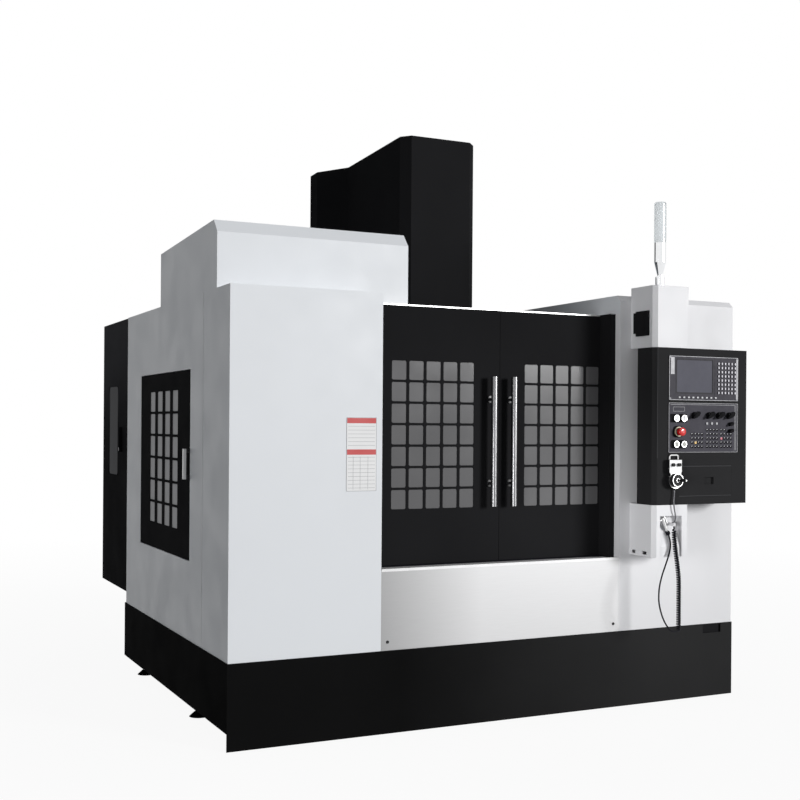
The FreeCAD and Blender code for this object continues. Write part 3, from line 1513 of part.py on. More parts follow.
def arc_path(points, name):
    """Straight runs joined by tangent arcs, each as large as its two runs allow."""
    vectors = [FreeCAD.Vector(*point) for point in points]
    edges = []
    radii = []
    here = vectors[0]
    for before, corner, after in zip(vectors, vectors[1:], vectors[2:]):
        back = (before - corner).normalize()
        ahead = (after - corner).normalize()
        turn = math.pi - back.getAngle(ahead)
        reach = 0.45 * min((before - corner).Length, (after - corner).Length)
        radius = reach / math.tan(turn / 2)
        start = corner + back * reach
        end = corner + ahead * reach
        inward = (back + ahead).normalize()
        middle = corner + inward * (math.hypot(radius, reach) - radius)
        edges.append(Part.LineSegment(here, start).toShape())
        edges.append(Part.Arc(start, middle, end).toShape())
        radii.append(radius)
        here = end
    edges.append(Part.LineSegment(here, vectors[-1]).toShape())
    print(name, "bend radii", [round(radius, 1) for radius in radii])
    return Part.Wire(edges)


def section(start, direction, radius, sides):
    """The tube's cross section: a circle, or a regular outline with a number of sides."""
    if not sides:
        return Part.Wire(Part.Circle(start, direction, radius).toShape())
    ring = Part.Circle(start, direction, radius)
    corners = [ring.value(2 * math.pi * (i + 0.5) / sides) for i in range(sides)]
    return Part.makePolygon(corners + [corners[0]])


def sweep(path, start, direction, radius, sides=0):
    """A tube along a path, checked by its volume."""
    tube = path.makePipeShell([section(start, direction, radius, sides)], True, False)
    area = Part.Face(section(start, direction, radius, sides)).Area
    share = tube.Volume / (area * path.Length)
    print("tube length", round(path.Length, 1), "volume against section times length", round(share, 4))
    return tube


def make_cord():
    x, y = SIZES["gland_x"], -SIZES["gland_y"]
    z = SIZES["wheel_z"] - SIZES["wheel_case_radius"] - SIZES["gland_length"]
    points = [
        (x, y, z), (x, y, z - 26), (x - 5, y - 1, z - 58), (x - 2, y - 2, z - 92), (x + 6, y - 1, z - 123),
        (x + 15, y + 7, z - 151), (x + 21, y + 25, z - 169), (x + 25, y + 57, z - 178),
    ]
    path = arc_path(points, "hand_wheel_cord")
    start = FreeCAD.Vector(*points[0])
    cord = doc.addObject("Part::Feature", "hand_wheel_cord")
    cord.Shape = sweep(path, start, FreeCAD.Vector(0, 0, -1), SIZES["cord_diameter"] / 2)
    settle("hand_wheel_cord", cord)


def coil_axis(drop):
    """The middle of the coil below its fitting: it leans out and to the right, then hangs."""
    share = min(max(drop / SIZES["coil_lean_drop"], 0.0), 1.0)
    lean = (1 - math.cos(math.pi * share)) / 2
    x = SIZES["fitting_x"] + SIZES["coil_shift"] * lean
    y = -SIZES["fitting_y"] - SIZES["coil_lean"] * lean
    return FreeCAD.Vector(x, y, SIZES["fitting_bottom"] - SIZES["hose_diameter"] - drop)


def coil_point(turns):
    """A point of the hose's centre line after a number of curls."""
    share = min(turns, 1.0)
    angle = 2 * math.pi * turns
    widening = share * share * (3 - 2 * share)
    middle = coil_axis(SIZES["coil_pitch"] * (turns + widening / 2))
    radius = SIZES["coil_radius"] * widening
    return middle + FreeCAD.Vector(radius * math.cos(angle), -radius * math.sin(angle), 0)


def coil_direction(turns):
    step = 1e-4
    ahead = coil_point(turns + step)
    behind = coil_point(max(turns - step, 0.0))
    return (ahead - behind).normalize()


def biarc(p0, t0, p1, t1):
    """Two arcs from p0 to p1 that leave along t0 and arrive along t1."""
    chord = p1 - p0
    total = t0 + t1
    a = 2 * (1 - t0.dot(t1))
    b = 2 * chord.dot(total)
    c = -chord.dot(chord)
    reach = -c / b if abs(a) < 1e-9 else (-b + math.sqrt(b * b - 4 * a * c)) / (2 * a)
    q0 = p0 + t0 * reach
    q1 = p1 - t1 * reach
    joint = (q0 + q1) * 0.5
    edges = []
    for start, corner, end in ((p0, q0, joint), (joint, q1, p1)):
        back = (start - corner).normalize()
        ahead = (end - corner).normalize()
        turn = math.pi - back.getAngle(ahead)
        if turn < 1e-5:
            edges.append(Part.LineSegment(start, end).toShape())
            continue
        radius = reach / math.tan(turn / 2)
        inward = (back + ahead).normalize()
        middle = corner + inward * (math.hypot(radius, reach) - radius)
        edges.append(Part.Arc(start, middle, end).toShape())
    return edges


def make_hose():
    down = FreeCAD.Vector(0, 0, -1)
    diameter = SIZES["hose_diameter"]
    curls = SIZES["coil_curls"] + 0.25
    start = FreeCAD.Vector(SIZES["fitting_x"], -SIZES["fitting_y"], SIZES["fitting_bottom"])
    first = coil_point(0.0)
    edges = [Part.LineSegment(start, first).toShape()]
    stops = [0.0, 0.25, 0.5, 0.75] + [1 + i / 2 for i in range(int(curls * 2) - 1)] + [curls]
    for here, ahead in zip(stops, stops[1:]):
        heading = down if here == 0 else coil_direction(here)
        edges += biarc(coil_point(here), heading, coil_point(ahead), coil_direction(ahead))
    end = coil_point(curls)
    leave = coil_direction(curls)
    finish = end + leave * diameter
    edges.append(Part.LineSegment(end, finish).toShape())
    path = Part.Wire(edges)
    coil = doc.addObject("Part::Feature", "air_hose_coil")
    coil.Shape = sweep(path, start, down, diameter / 2, 8)
    settle("air_hose_coil", coil)
    print_least_gap(curls, diameter)

    x, y, z = finish.x, finish.y, finish.z
    fall = leave.z / abs(leave.x)
    inlet_x, inlet_z = beside_gun(zero, -s.gun_inlet_length)
    gun_x, gun_y, gun_z = inlet_x.value, -SIZES["gun_y"], inlet_z.value
    lean = math.tan(math.radians(SIZES["gun_tilt"]))
    points = [
        (x, y, z), (x - 12.7, y, z + 12.7 * fall), (x - 25.7, y + 1, z - 2.3), (x - 38.2, y + 2, z + 1.3),
        (x - 49.5, y + 3, z + 7.8), (x - 59.7, y + 5, z + 17.3), (x - 77.3, y + 8, z + 41.6),
        (x - 92, y + 12, z + 73), (x - 104, y + 16, z + 112), (x - 110, y + 21, z + 155),
        (gun_x - 92, gun_y - 46, gun_z - 307),
        (gun_x - 86, gun_y - 42, gun_z - 271), (gun_x - 68, gun_y - 37, gun_z - 218),
        (gun_x - 41, gun_y - 32, gun_z - 165), (gun_x - 14, gun_y - 27, gun_z - 111),
        (gun_x + 3, gun_y - 20, gun_z - 66), (gun_x + 22 * lean, gun_y - 4, gun_z - 26),
        (gun_x, gun_y, gun_z),
    ]
    print("air hose tail starts at", [round(value, 2) for value in points[0]])
    path = arc_path(points, "air_hose_tail")
    tail = doc.addObject("Part::Feature", "air_hose_tail")
    tail.Shape = sweep(path, finish, leave, diameter / 2)
    settle("air_hose_tail", tail)


def print_least_gap(curls, diameter):
    """The least gap between neighbouring curls, measured on points of the centre line."""
    per_turn = 24
    line = [coil_point(i / per_turn) for i in range(int(curls * per_turn))]
    least = min((line[i] - line[j]).Length
                for i in range(len(line))
                for j in range(i + per_turn // 2, min(i + 2 * per_turn, len(line))))
    print("air hose coil least gap to itself", round(least - diameter, 2))


# --- build, check and write -------------------------------------------------------------------------

def build():
    make_base_skirt()
    make_levelling_feet()
    make_bed()
    make_column()
    make_saddle()
    make_table()
    make_head()
    make_spindle()
    make_changer()
    make_magazine()
    make_left_panels()
    make_side_door()
    make_right_panels()
    make_roof()
    make_front()
    make_door(-1, "left")
    make_door(1, "right")
    make_magazine_cover()
    make_tower_cover()
    make_cabinet()
    make_upper_block()
    make_lower_block()
    make_signal_lamp()
    make_air_gun()
    make_pendant_case()
    make_control_unit()
    make_operator_panel()
    make_panel_controls()
    make_hand_wheel()
    make_cord()
    make_hose()
    doc.recompute()


def check():
    for item in doc.Objects:
        if "Invalid" in item.State or "Error" in item.State:
            raise RuntimeError(f"{item.Label} failed: {item.State}")
    for feature in cuts:
        if feature.Shape.Volume >= feature.BaseFeature.Shape.Volume:
            raise RuntimeError(f"{feature.Label} cuts nothing")
    for label, piece in pieces.items():
        if piece.Shape.isNull() or not piece.Shape.isValid():
            raise RuntimeError(f"{label} has no valid shape")


def write():
    os.makedirs("parts", exist_ok=True)
    for label, piece in pieces.items():
        piece.Shape.exportStep(os.path.join("parts", label + ".step"))
    print(len(pieces), "pieces written")


build()
check()
write()
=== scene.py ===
import bpy
import bmesh
import math
from mathutils import Matrix, Vector


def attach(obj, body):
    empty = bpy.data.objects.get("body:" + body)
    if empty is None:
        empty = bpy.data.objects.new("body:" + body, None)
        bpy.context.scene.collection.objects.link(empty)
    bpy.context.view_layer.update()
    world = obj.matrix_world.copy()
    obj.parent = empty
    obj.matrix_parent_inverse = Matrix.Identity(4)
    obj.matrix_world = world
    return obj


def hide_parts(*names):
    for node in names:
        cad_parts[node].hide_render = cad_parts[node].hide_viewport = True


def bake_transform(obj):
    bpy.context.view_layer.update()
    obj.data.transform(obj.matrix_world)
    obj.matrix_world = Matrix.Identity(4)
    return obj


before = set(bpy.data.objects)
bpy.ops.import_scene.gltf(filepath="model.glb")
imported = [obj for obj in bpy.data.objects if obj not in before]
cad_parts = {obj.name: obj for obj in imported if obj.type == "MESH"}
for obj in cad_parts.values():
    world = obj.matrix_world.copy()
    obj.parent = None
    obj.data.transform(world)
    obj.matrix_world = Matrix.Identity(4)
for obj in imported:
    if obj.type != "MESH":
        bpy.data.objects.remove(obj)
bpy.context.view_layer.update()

# Sizes are written as in the part's source: millimetres from the enclosure's front left corner on the floor.
LEFT, FRONT = -1433.0, -1197.85
ROOT, PENDANT = "machine_frame", "pendant"


def at(x, y, z):
    """A corner point in millimetres as a point of the row frame in metres."""
    return Vector(((x + LEFT) / 1000, (y + FRONT) / 1000, z / 1000))


# --- camera -----------------------------------------------------------------------------------------

PICTURE = 800           # width and height of the photo, in pixels
FOCAL_PIXELS = 1182.87  # the fitted focal length, in pixels of the photo
SHIFT_PIXELS = 25.08
SENSOR = 36
EYE = (-1617.57, -5094.52, 1469.82)
YAW = math.radians(-25.826)
ROLL = 0.00708


def make_camera():
    data = bpy.data.cameras.new("photo_camera")
    data.sensor_width = SENSOR
    data.lens = FOCAL_PIXELS / PICTURE * SENSOR
    data.shift_y = SHIFT_PIXELS / PICTURE
    camera = bpy.data.objects.new("photo_camera", data)
    camera.location = at(*EYE)
    camera.matrix_world = (Matrix.Translation(camera.location) @ Matrix.Rotation(YAW, 4, "Z")
                           @ Matrix.Rotation(math.pi / 2, 4, "X") @ Matrix.Rotation(ROLL, 4, "Z"))
    bpy.context.scene.collection.objects.link(camera)
    bpy.context.scene.camera = camera


make_camera()

# --- materials --------------------------------------------------------------------------------------
# A fade paints light and shade into a piece's colour: it is an axis of the piece, the two greys that the
# colour is multiplied by, and the shares of the piece's length where it starts and ends.


class Shader:
    """A small helper that adds nodes to one material."""

    def __init__(self, name):
        self.material = bpy.data.materials.new(name)
        self.material.use_nodes = True
        self.tree = self.material.node_tree
        self.principled = self.tree.nodes["Principled BSDF"]
        self.where = self.add("ShaderNodeTexCoord").outputs["Object"]

    def add(self, kind, **settings):
        node = self.tree.nodes.new(kind)
        for key, value in settings.items():
            setattr(node, key, value)
        return node

    def link(self, output, target):
        self.tree.links.new(output, target)

    def put(self, name, value):
        """A constant on the shader's own socket, or a link from another node."""
        socket = self.principled.inputs[name]
        if isinstance(value, bpy.types.NodeSocket):
            self.link(value, socket)
        else:
            socket.default_value = value

    def scaled(self, scale):
        mapping = self.add("ShaderNodeMapping")
        self.link(self.where, mapping.inputs["Vector"])
        mapping.inputs["Scale"].default_value = scale
        return mapping.outputs["Vector"]

    def noise(self, scale, detail=2.0, stretch=(1, 1, 1), roughness=0.5):
        node = self.add("ShaderNodeTexNoise")
        self.link(self.scaled(stretch), node.inputs["Vector"])
        node.inputs["Scale"].default_value = scale
        node.inputs["Detail"].default_value = detail
        node.inputs["Roughness"].default_value = roughness
        return node.outputs["Fac"]

    def ramp(self, value, low, high, start=0.3, end=0.7):
        """A colour or a grey between two values as the input goes from start to end."""
        node = self.add("ShaderNodeValToRGB")
        node.color_ramp.elements[0].position = start
        node.color_ramp.elements[1].position = end
        node.color_ramp.elements[0].color = rgba(low)
        node.color_ramp.elements[1].color = rgba(high)
        self.link(value, node.inputs["Fac"])
        return node.outputs["Color"]

    def across(self, axis, low, high, start, end):
        """A colour that goes from low to high along one axis of the piece."""
        split = self.add("ShaderNodeSeparateXYZ")
        self.link(self.add("ShaderNodeTexCoord").outputs["Generated"], split.inputs[0])
        return self.ramp(split.outputs[axis], low, high, start, end)

    def product(self, first, second):
        """One colour multiplied by another."""
        node = self.add("ShaderNodeMix", data_type="RGBA", blend_type="MULTIPLY")
        node.inputs["Factor"].default_value = 1.0
        self.link(first, node.inputs["A"])
        self.link(second, node.inputs["B"])
        return node.outputs["Result"]

    def bump(self, height, strength, distance):
        node = self.add("ShaderNodeBump")
        node.inputs["Strength"].default_value = strength
        node.inputs["Distance"].default_value = distance
        self.link(height, node.inputs["Height"])
        self.link(node.outputs["Normal"], self.principled.inputs["Normal"])


def rgba(value):
    if isinstance(value, (int, float)):
        return (value, value, value, 1)
    return (*value[:3], 1)


def shade(colour, factor):
    return tuple(min(1.0, channel * factor) for channel in colour)


def powder_coat(name, colour, roughness, grain=900, depth=0.00012, change=0.04, gloss=0.5, painted_shade=None):
    """Powder coated sheet: slight mottling, a fine orange peel and a little handling wear in its gloss."""
    s = Shader(name)
    mottle = s.ramp(s.noise(1.3, 3), shade(colour, 1 - change), shade(colour, 1 + change))
    # an optional fade along one axis paints light and shade into the colour
    s.put("Base Color", s.product(mottle, s.across(*painted_shade)) if painted_shade else mottle)
    s.put("Roughness", s.ramp(s.noise(6, 3), roughness - 0.06, roughness + 0.06))
    s.put("Specular IOR Level", gloss)
    s.bump(s.noise(grain, 2), 0.35, depth)
    return s.material


def brushed(name, colour, along, roughness=0.34, change=0.1, metallic=1.0, painted_shade=None):
    """Brushed steel with its grain along one axis."""
    s = Shader(name)
    stretch = [90, 90, 90]
    stretch["XYZ".index(along)] = 1.5
    grain = s.noise(6, 6, stretch, 0.7)
    streaks = s.ramp(grain, shade(colour, 1 - change), shade(colour, 1 + change))
    # an optional fade along one axis paints light and shade into the colour
    s.put("Base Color", s.product(streaks, s.across(*painted_shade)) if painted_shade else streaks)
    s.put("Metallic", metallic)
    s.put("Roughness", s.ramp(grain, roughness - 0.08, roughness + 0.08))
    s.bump(grain, 0.15, 0.0001)
    return s.material


def chrome(name, colour=(0.86, 0.87, 0.88)):
    s = Shader(name)
    s.put("Base Color", s.ramp(s.noise(9, 2), shade(colour, 0.95), colour))
    s.put("Metallic", 1.0)
    s.put("Roughness", s.ramp(s.noise(60, 4), 0.06, 0.14))
    s.bump(s.noise(25, 2), 0.05, 0.0002)
    return s.material


def plastic(name, colour, roughness=0.5, grain=1500, depth=0.00006, change=0.06, gloss=0.5):
    s = Shader(name)
    s.put("Specular IOR Level", gloss)
    s.put("Base Color", s.ramp(s.noise(12, 3), shade(colour, 1 - change), shade(colour, 1 + change)))
    s.put("Roughness", s.ramp(s.noise(40, 3), roughness - 0.07, roughness + 0.07))
    s.bump(s.noise(grain, 2), 0.3, depth)
    return s.material


def tinted_pane(name, colour, roughness=0.12, gloss=0.3):
    """Grey tinted polycarbonate: it hides the dim inside and mirrors the room softly."""
    s = Shader(name)
    s.put("Base Color", s.ramp(s.noise(1.1, 2), shade(colour, 0.92), shade(colour, 1.08)))
    s.put("Roughness", s.ramp(s.noise(5, 3), roughness - 0.04, roughness + 0.08))
    s.put("IOR", 1.58)
    s.put("Specular IOR Level", gloss)
    s.bump(s.noise(3, 1), 0.04, 0.0006)
    return s.material


def cast_paint(name, colour):
    s = Shader(name)
    s.put("Base Color", s.ramp(s.noise(3, 4), shade(colour, 0.9), shade(colour, 1.06)))
    s.put("Roughness", s.ramp(s.noise(20, 3), 0.42, 0.6))
    s.bump(s.noise(70, 5), 0.4, 0.0008)
    return s.material


def clear_plastic(name, colour, roughness=0.12, transmission=0.75):
    s = Shader(name)
    s.put("Base Color", s.ramp(s.noise(15, 2), shade(colour, 0.95), colour))
    s.put("Roughness", roughness)
    s.put("Transmission Weight", transmission)
    s.put("IOR", 1.49)
    s.bump(s.noise(40, 2), 0.02, 0.0001)
    return s.material


white = powder_coat("white_powder_coat", (0.70, 0.72, 0.745), 0.42, change=0.012, gloss=0.25)
# painted light: the arm blocks get their own copy of the white coat, kept apart to stand in for the light
# they catch
arm_white_lit = powder_coat("arm_powder_coat_lit", (0.70, 0.70, 0.715), 0.42, change=0.012, gloss=0.25)
# painted light: a lighter copy of the white coat for the right front panel, lighter still towards its top
right_white_lit = powder_coat("right_powder_coat_lit_top", (0.735, 0.735, 0.75), 0.42, change=0.012, gloss=0.25,
                          painted_shade=("Z", 0.93, 1.0, 0.45, 0.8))
black = powder_coat("black_powder_coat", (0.0145, 0.0145, 0.0155), 0.6, grain=1400, depth=0.0002,
                    change=0.12, gloss=0.001)
# painted shade: the skirt's black is darker towards its left end
skirt_black_shaded = powder_coat("skirt_coat_shaded_left", (0.0255, 0.0255, 0.026), 0.6, grain=1400, depth=0.0002,
                          change=0.12, gloss=0.001, painted_shade=("X", 0.25, 1.0, 0.30, 0.80))
# painted reflection and shade: the cabinet door's black is darker towards its bottom
cabinet_black_shaded = powder_coat("cabinet_coat_shaded_low", (0.05, 0.05, 0.054), 0.6, grain=1400, depth=0.0002,
                            change=0.12, gloss=0.001, painted_shade=("Z", 0.22, 1.0, 0.55, 0.85))
# painted shade: the apron's steel is darker towards its left end
steel_apron_shaded = brushed("brushed_apron_shaded_left", (0.50, 0.50, 0.505), "X", roughness=0.45, change=0.05, metallic=0.2,
                      painted_shade=("X", 0.52, 1.0, 0.0, 0.40))
steel_rail = brushed("brushed_rail", (0.5, 0.5, 0.5), "X", roughness=0.4)
steel_ground = brushed("ground_steel", (0.55, 0.56, 0.57), "X", roughness=0.3)
steel_turned = brushed("turned_steel", (0.6, 0.6, 0.6), "Y", roughness=0.28)
key_steel = brushed("key_steel", (0.24, 0.24, 0.25), "Z", roughness=0.35)
chrome_tube = chrome("chrome_tube")
handle_tube = brushed("handle_tube", (0.21, 0.21, 0.215), "Z", roughness=0.26, change=0.05)
pane = tinted_pane("grey_pane", (0.134, 0.133, 0.136), gloss=0.06)
# painted light: the side door's pane is much lighter than the door panes, to make up for the shade it lies
# in behind the grille
side_pane_lit = tinted_pane("side_grey_pane_lit", (0.56, 0.558, 0.562), gloss=0.01)
casting = cast_paint("painted_casting", (0.33, 0.37, 0.40))
pendant_black = powder_coat("pendant_coat", (0.0235, 0.0235, 0.0245), 0.55, grain=1400, depth=0.00015,
                            change=0.1, gloss=0.01)
unit_grey = plastic("unit_bezel", (0.052, 0.050, 0.060), 0.45, gloss=0.06)
panel_film = plastic("panel_film", (0.056, 0.054, 0.066), 0.5, gloss=0.06)
black_plastic = plastic("black_plastic", (0.010, 0.010, 0.011), 0.42, gloss=0.1)
knob_plastic = plastic("knob_plastic", (0.006, 0.006, 0.007), 0.4, gloss=0.08)
red_plastic = plastic("stop_red", (0.62, 0.012, 0.010), 0.25, depth=0.00002)
button_cap = plastic("button_cap", (0.40, 0.41, 0.38), 0.3, depth=0.00002, gloss=0.2)
rubber = plastic("hose_rubber", (0.006, 0.006, 0.009), 0.5, gloss=0.08)
cord_jacket = plastic("cord_jacket", (0.10, 0.10, 0.11), 0.35)
pull_metal = brushed("pull_metal", (0.80, 0.80, 0.80), "Z", roughness=0.5, metallic=0.3)
trim_grey = plastic("trim_grey", (0.30, 0.30, 0.32), 0.4)
# painted highlight: a faint grey for lines standing in for light on the flap's and the pendant's edges
faint_highlight = plastic("faint_highlight", (0.046, 0.046, 0.049), 0.5, gloss=0.05)
panel_trim = plastic("panel_trim", (0.22, 0.22, 0.23), 0.45)
gasket = plastic("screen_gasket", (0.030, 0.029, 0.034), 0.5, gloss=0.1)
screen_glass = plastic("screen_glass", (0.100, 0.100, 0.122), 0.25, depth=0.00002, gloss=0.02)
key_light = plastic("key_light", (0.58, 0.57, 0.62), 0.45)
key_mark = plastic("key_mark", (0.42, 0.42, 0.44), 0.4)
key_dark = plastic("key_dark", (0.003, 0.003, 0.004), 0.5, gloss=0.03)
key_red = plastic("key_red", (0.55, 0.03, 0.08), 0.4)
key_yellow = plastic("key_yellow", (0.75, 0.45, 0.06), 0.4)
bracket_black = plastic("bracket_black", (0.02, 0.02, 0.022), 0.35, gloss=0.3)
case_white = plastic("case_white", (0.80, 0.80, 0.80), 0.35)
collar_cream = plastic("collar_cream", (0.62, 0.56, 0.40), 0.4)
lens = clear_plastic("lamp_lens", (0.82, 0.86, 0.88))

COATS = {
    "left_corner_panel": white, "left_side_panel": white, "right_front_panel": right_white_lit,
    "right_side_panel": white, "roof_panels": white, "magazine_cover": white, "left_door": black,
    "right_door": black, "side_door": black, "upper_arm_block": arm_white_lit,
    "lower_arm_block": arm_white_lit, "side_door_handle": pull_metal, "base_skirt": skirt_black_shaded,
    "door_jambs": black, "tower_cover": black,
    "electrical_cabinet": black, "cabinet_door": cabinet_black_shaded, "pendant_case": pendant_black,
    "pendant_flap": pendant_black, "arm_latch_box": black, "front_apron": steel_apron_shaded,
    "door_rails": steel_rail, "bed_casting": casting, "column_casting": casting, "saddle": casting,
    "spindle_head": casting, "changer_bracket": casting, "table": steel_ground,
    "change_arm": steel_ground, "changer_shaft": steel_turned, "magazine_disc": steel_turned,
    "spindle": steel_turned, "levelling_feet": skirt_black_shaded, "left_door_handle": handle_tube,
    "right_door_handle": handle_tube, "signal_lamp_stem": chrome_tube, "left_door_glass": pane,
    "right_door_glass": pane, "side_door_glass": side_pane_lit, "signal_lamp_lens": lens,
    "control_unit": unit_grey, "operator_panel": panel_film, "hand_wheel_unit": black_plastic,
    "hand_wheel": black_plastic, "air_gun": steel_turned, "air_gun_trigger": steel_turned,
    "key_switch_1": key_steel, "key_switch_2": key_steel, "lit_button_1": button_cap,
    "lit_button_2": button_cap, "stop_button": red_plastic, "axis_switch_1": knob_plastic,
    "axis_switch_2": knob_plastic, "override_knob_1": knob_plastic, "override_knob_2": knob_plastic,
    "override_knob_3": knob_plastic, "override_knob_4": knob_plastic, "air_hose_coil": rubber,
    "air_hose_tail": rubber, "hand_wheel_cord": rubber,
}
for node, material in COATS.items():
    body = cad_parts[node]
    if not body.material_slots:
        body.data.materials.append(material)
    for place in body.material_slots:
        place.material = material

# --- cords ------------------------------------------------------------------------------------------

COIL_RADIUS, COIL_PITCH, COIL_CURLS, COIL_STEPS, HOSE = 9.0, 12.0, 43.25, 14, 8.0
COIL_LEAN, COIL_SHIFT, COIL_LEAN_DROP = 30.0, 9.0, 300.0
FITTING = (2322.0, -212.0, 957.0)
GUN_FOOT = (2308.45, -180.0, 918.87)
HOSE_LENGTH, CORD_LENGTH, CORD = 3.066, 0.213, 7.0


def coil_point(turns):
    """A point of the coil, which widens over its first turn and leans forward as it drops."""
    share = min(turns, 1.0)
    widening = share * share * (3 - 2 * share)
    radius = COIL_RADIUS * widening
    drop = COIL_PITCH * (turns + widening / 2)
    lean = (1 - math.cos(math.pi * min(drop / COIL_LEAN_DROP, 1.0))) / 2
    angle = 2 * math.pi * turns
    return (FITTING[0] + COIL_SHIFT * lean + radius * math.cos(angle),
            FITTING[1] - COIL_LEAN * lean - radius * math.sin(angle), FITTING[2] - HOSE - drop)


def spline_curve(name, points, radius, material):
    """A tube on one smooth spline through a route's points, given in corner millimetres."""
    data = bpy.data.curves.new(name, "CURVE")
    data.dimensions = "3D"
    data.resolution_u = 4
    data.bevel_depth = radius / 1000
    data.bevel_resolution = 3
    data.use_fill_caps = True
    spline = data.splines.new("NURBS")
    spline.points.add(len(points) - 1)
    for point, place in zip(spline.points, points):
        point.co = (*at(*place), 1)
    spline.order_u = 3
    spline.use_endpoint_u = True
    data.materials.append(material)
    piece = bpy.data.objects.new(name, data)
    bpy.context.scene.collection.objects.link(piece)
    return piece


def line_of(curve):
    """The points of a curve's own line, and its length."""
    bevel = curve.data.bevel_depth
    curve.data.bevel_depth = 0
    bpy.context.view_layer.update()
    graph = bpy.context.evaluated_depsgraph_get()
    mesh = bpy.data.meshes.new_from_object(curve.evaluated_get(graph))
    points = [v.co.copy() for v in mesh.vertices]
    curve.data.bevel_depth = bevel
    length = sum((b - a).length for a, b in zip(points, points[1:]))
    return points, length


coil_route = [FITTING] + [coil_point(i / COIL_STEPS) for i in range(int(COIL_CURLS * COIL_STEPS) + 1)]
end = coil_point(COIL_CURLS)
before = coil_point(COIL_CURLS - 1e-3)
run = math.dist(end, before)
leave = [(a - b) / run for a, b in zip(end, before)]
finish = [a + b * HOSE for a, b in zip(end, leave)]
fx, fy, fz = finish
fall = leave[2] / abs(leave[0])
gx, gy, gz = GUN_FOOT
tail_route = [
    (fx - 12.7, fy, fz + 12.7 * fall), (fx - 25.7, fy + 1, fz - 2.3), (fx - 38.2, fy + 2, fz + 1.3),
    (fx - 49.5, fy + 3, fz + 7.8), (fx - 59.7, fy + 5, fz + 17.3), (fx - 77.3, fy + 8, fz + 41.6),
    (fx - 92, fy + 12, fz + 73), (fx - 104, fy + 16, fz + 112), (fx - 110, fy + 21, fz + 155),
    (gx - 92, gy - 46, gz - 307), (gx - 86, gy - 42, gz - 271), (gx - 68, gy - 37, gz - 218),
    (gx - 41, gy - 32, gz - 165), (gx - 14, gy - 27, gz - 111), (gx + 3, gy - 20, gz - 66),
    (gx + 10.26, gy - 4, gz - 26), (gx, gy, gz),
]
hose = spline_curve("air_hose", coil_route + tail_route, HOSE / 2, rubber)
hose_length = line_of(hose)[1]
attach(hose, ROOT)
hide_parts("air_hose_coil", "air_hose_tail")
print("air hose length", round(hose_length, 4))

cx, cy, cz = 2322.0, -213.0, 1144.0
cord_route = [
    (cx, cy, cz), (cx, cy, cz - 26), (cx - 5, cy - 1, cz - 58), (cx - 2, cy - 2, cz - 92),
    (cx + 6, cy - 1, cz - 123), (cx + 15, cy + 7, cz - 151), (cx + 21, cy + 25, cz - 169),
    (cx + 25, cy + 57, cz - 178),
]
cord_curve = spline_curve("cord_line", cord_route, CORD / 2, cord_jacket)
cord_line, cord_length = line_of(cord_curve)
graph = bpy.context.evaluated_depsgraph_get()
cord_mesh = bpy.data.meshes.new_from_object(cord_curve.evaluated_get(graph))
bpy.data.objects.remove(cord_curve)
cord = bpy.data.objects.new("wheel_cord", cord_mesh)
bpy.context.scene.collection.objects.link(cord)
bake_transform(cord)
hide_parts("hand_wheel_cord")
print("hand wheel cord length", round(cord_length, 4))

# --- pieces that the camera sees up close ---------------------------------------------------------------


def skin(mesh, loops):
    """Faces between each loop of points and the next."""
    for first, second in zip(loops, loops[1:]):
        for i in range(len(first)):
            j = (i + 1) % len(first)
            mesh.faces.new((first[i], first[j], second[j], second[i]))


def turn(count):
    """The angles of so many points round a circle."""
    return [2 * math.pi * i / count for i in range(count)]


def bar(mesh, x0, x1, y0, y1, z0, z1, bevel=0.0):
    """A block between two corners, in corner millimetres, with softened edges."""
    verts = bmesh.ops.create_cube(mesh, size=1)["verts"]
    low, high = at(x0, y0, z0), at(x1, y1, z1)
    for vert in verts:
        vert.co = Vector([low[i] if vert.co[i] < 0 else high[i] for i in range(3)])
    if bevel:
        edges = list({edge for vert in verts for edge in vert.link_edges})
        bmesh.ops.bevel(mesh, geom=edges, offset=bevel / 1000, segments=2, affect="EDGES")


def plate(mesh, outline, y0, y1):
    """A flat plate whose outline is given in X and Z."""
    rear = [mesh.verts.new(at(x, y1, z)) for x, z in outline]
    front = [mesh.verts.new(at(x, y0, z)) for x, z in outline]
    mesh.faces.new(front)
    mesh.faces.new(list(reversed(rear)))
    skin(mesh, [front, rear])


def rounded_outline(x0, x1, z0, z1, radius, steps=5):
    outline = []
    for cx0, cz0, start in ((x1 - radius, z0 + radius, -90), (x1 - radius, z1 - radius, 0),
                            (x0 + radius, z1 - radius, 90), (x0 + radius, z0 + radius, 180)):
        for i in range(steps + 1):
            angle = math.radians(start + 90 * i / steps)
            outline.append((cx0 + radius * math.cos(angle), cz0 + radius * math.sin(angle)))
    return outline


def frame_of(mesh, outer, inner, y0, y1):
    """A closed ring between two outlines with the same number of points."""
    loops = []
    for outline, y in ((outer, y0), (inner, y0), (inner, y1), (outer, y1)):
        loops.append([mesh.verts.new(at(x, y, z)) for x, z in outline])
    skin(mesh, loops + loops[:1])


def circle_outline(x, z, radius, sides=40):
    return [(x + radius * math.cos(a), z + radius * math.sin(a)) for a in turn(sides)]


def ring(mesh, x, z, inner, outer, y0, y1):
    frame_of(mesh, circle_outline(x, z, outer), circle_outline(x, z, inner), y0, y1)


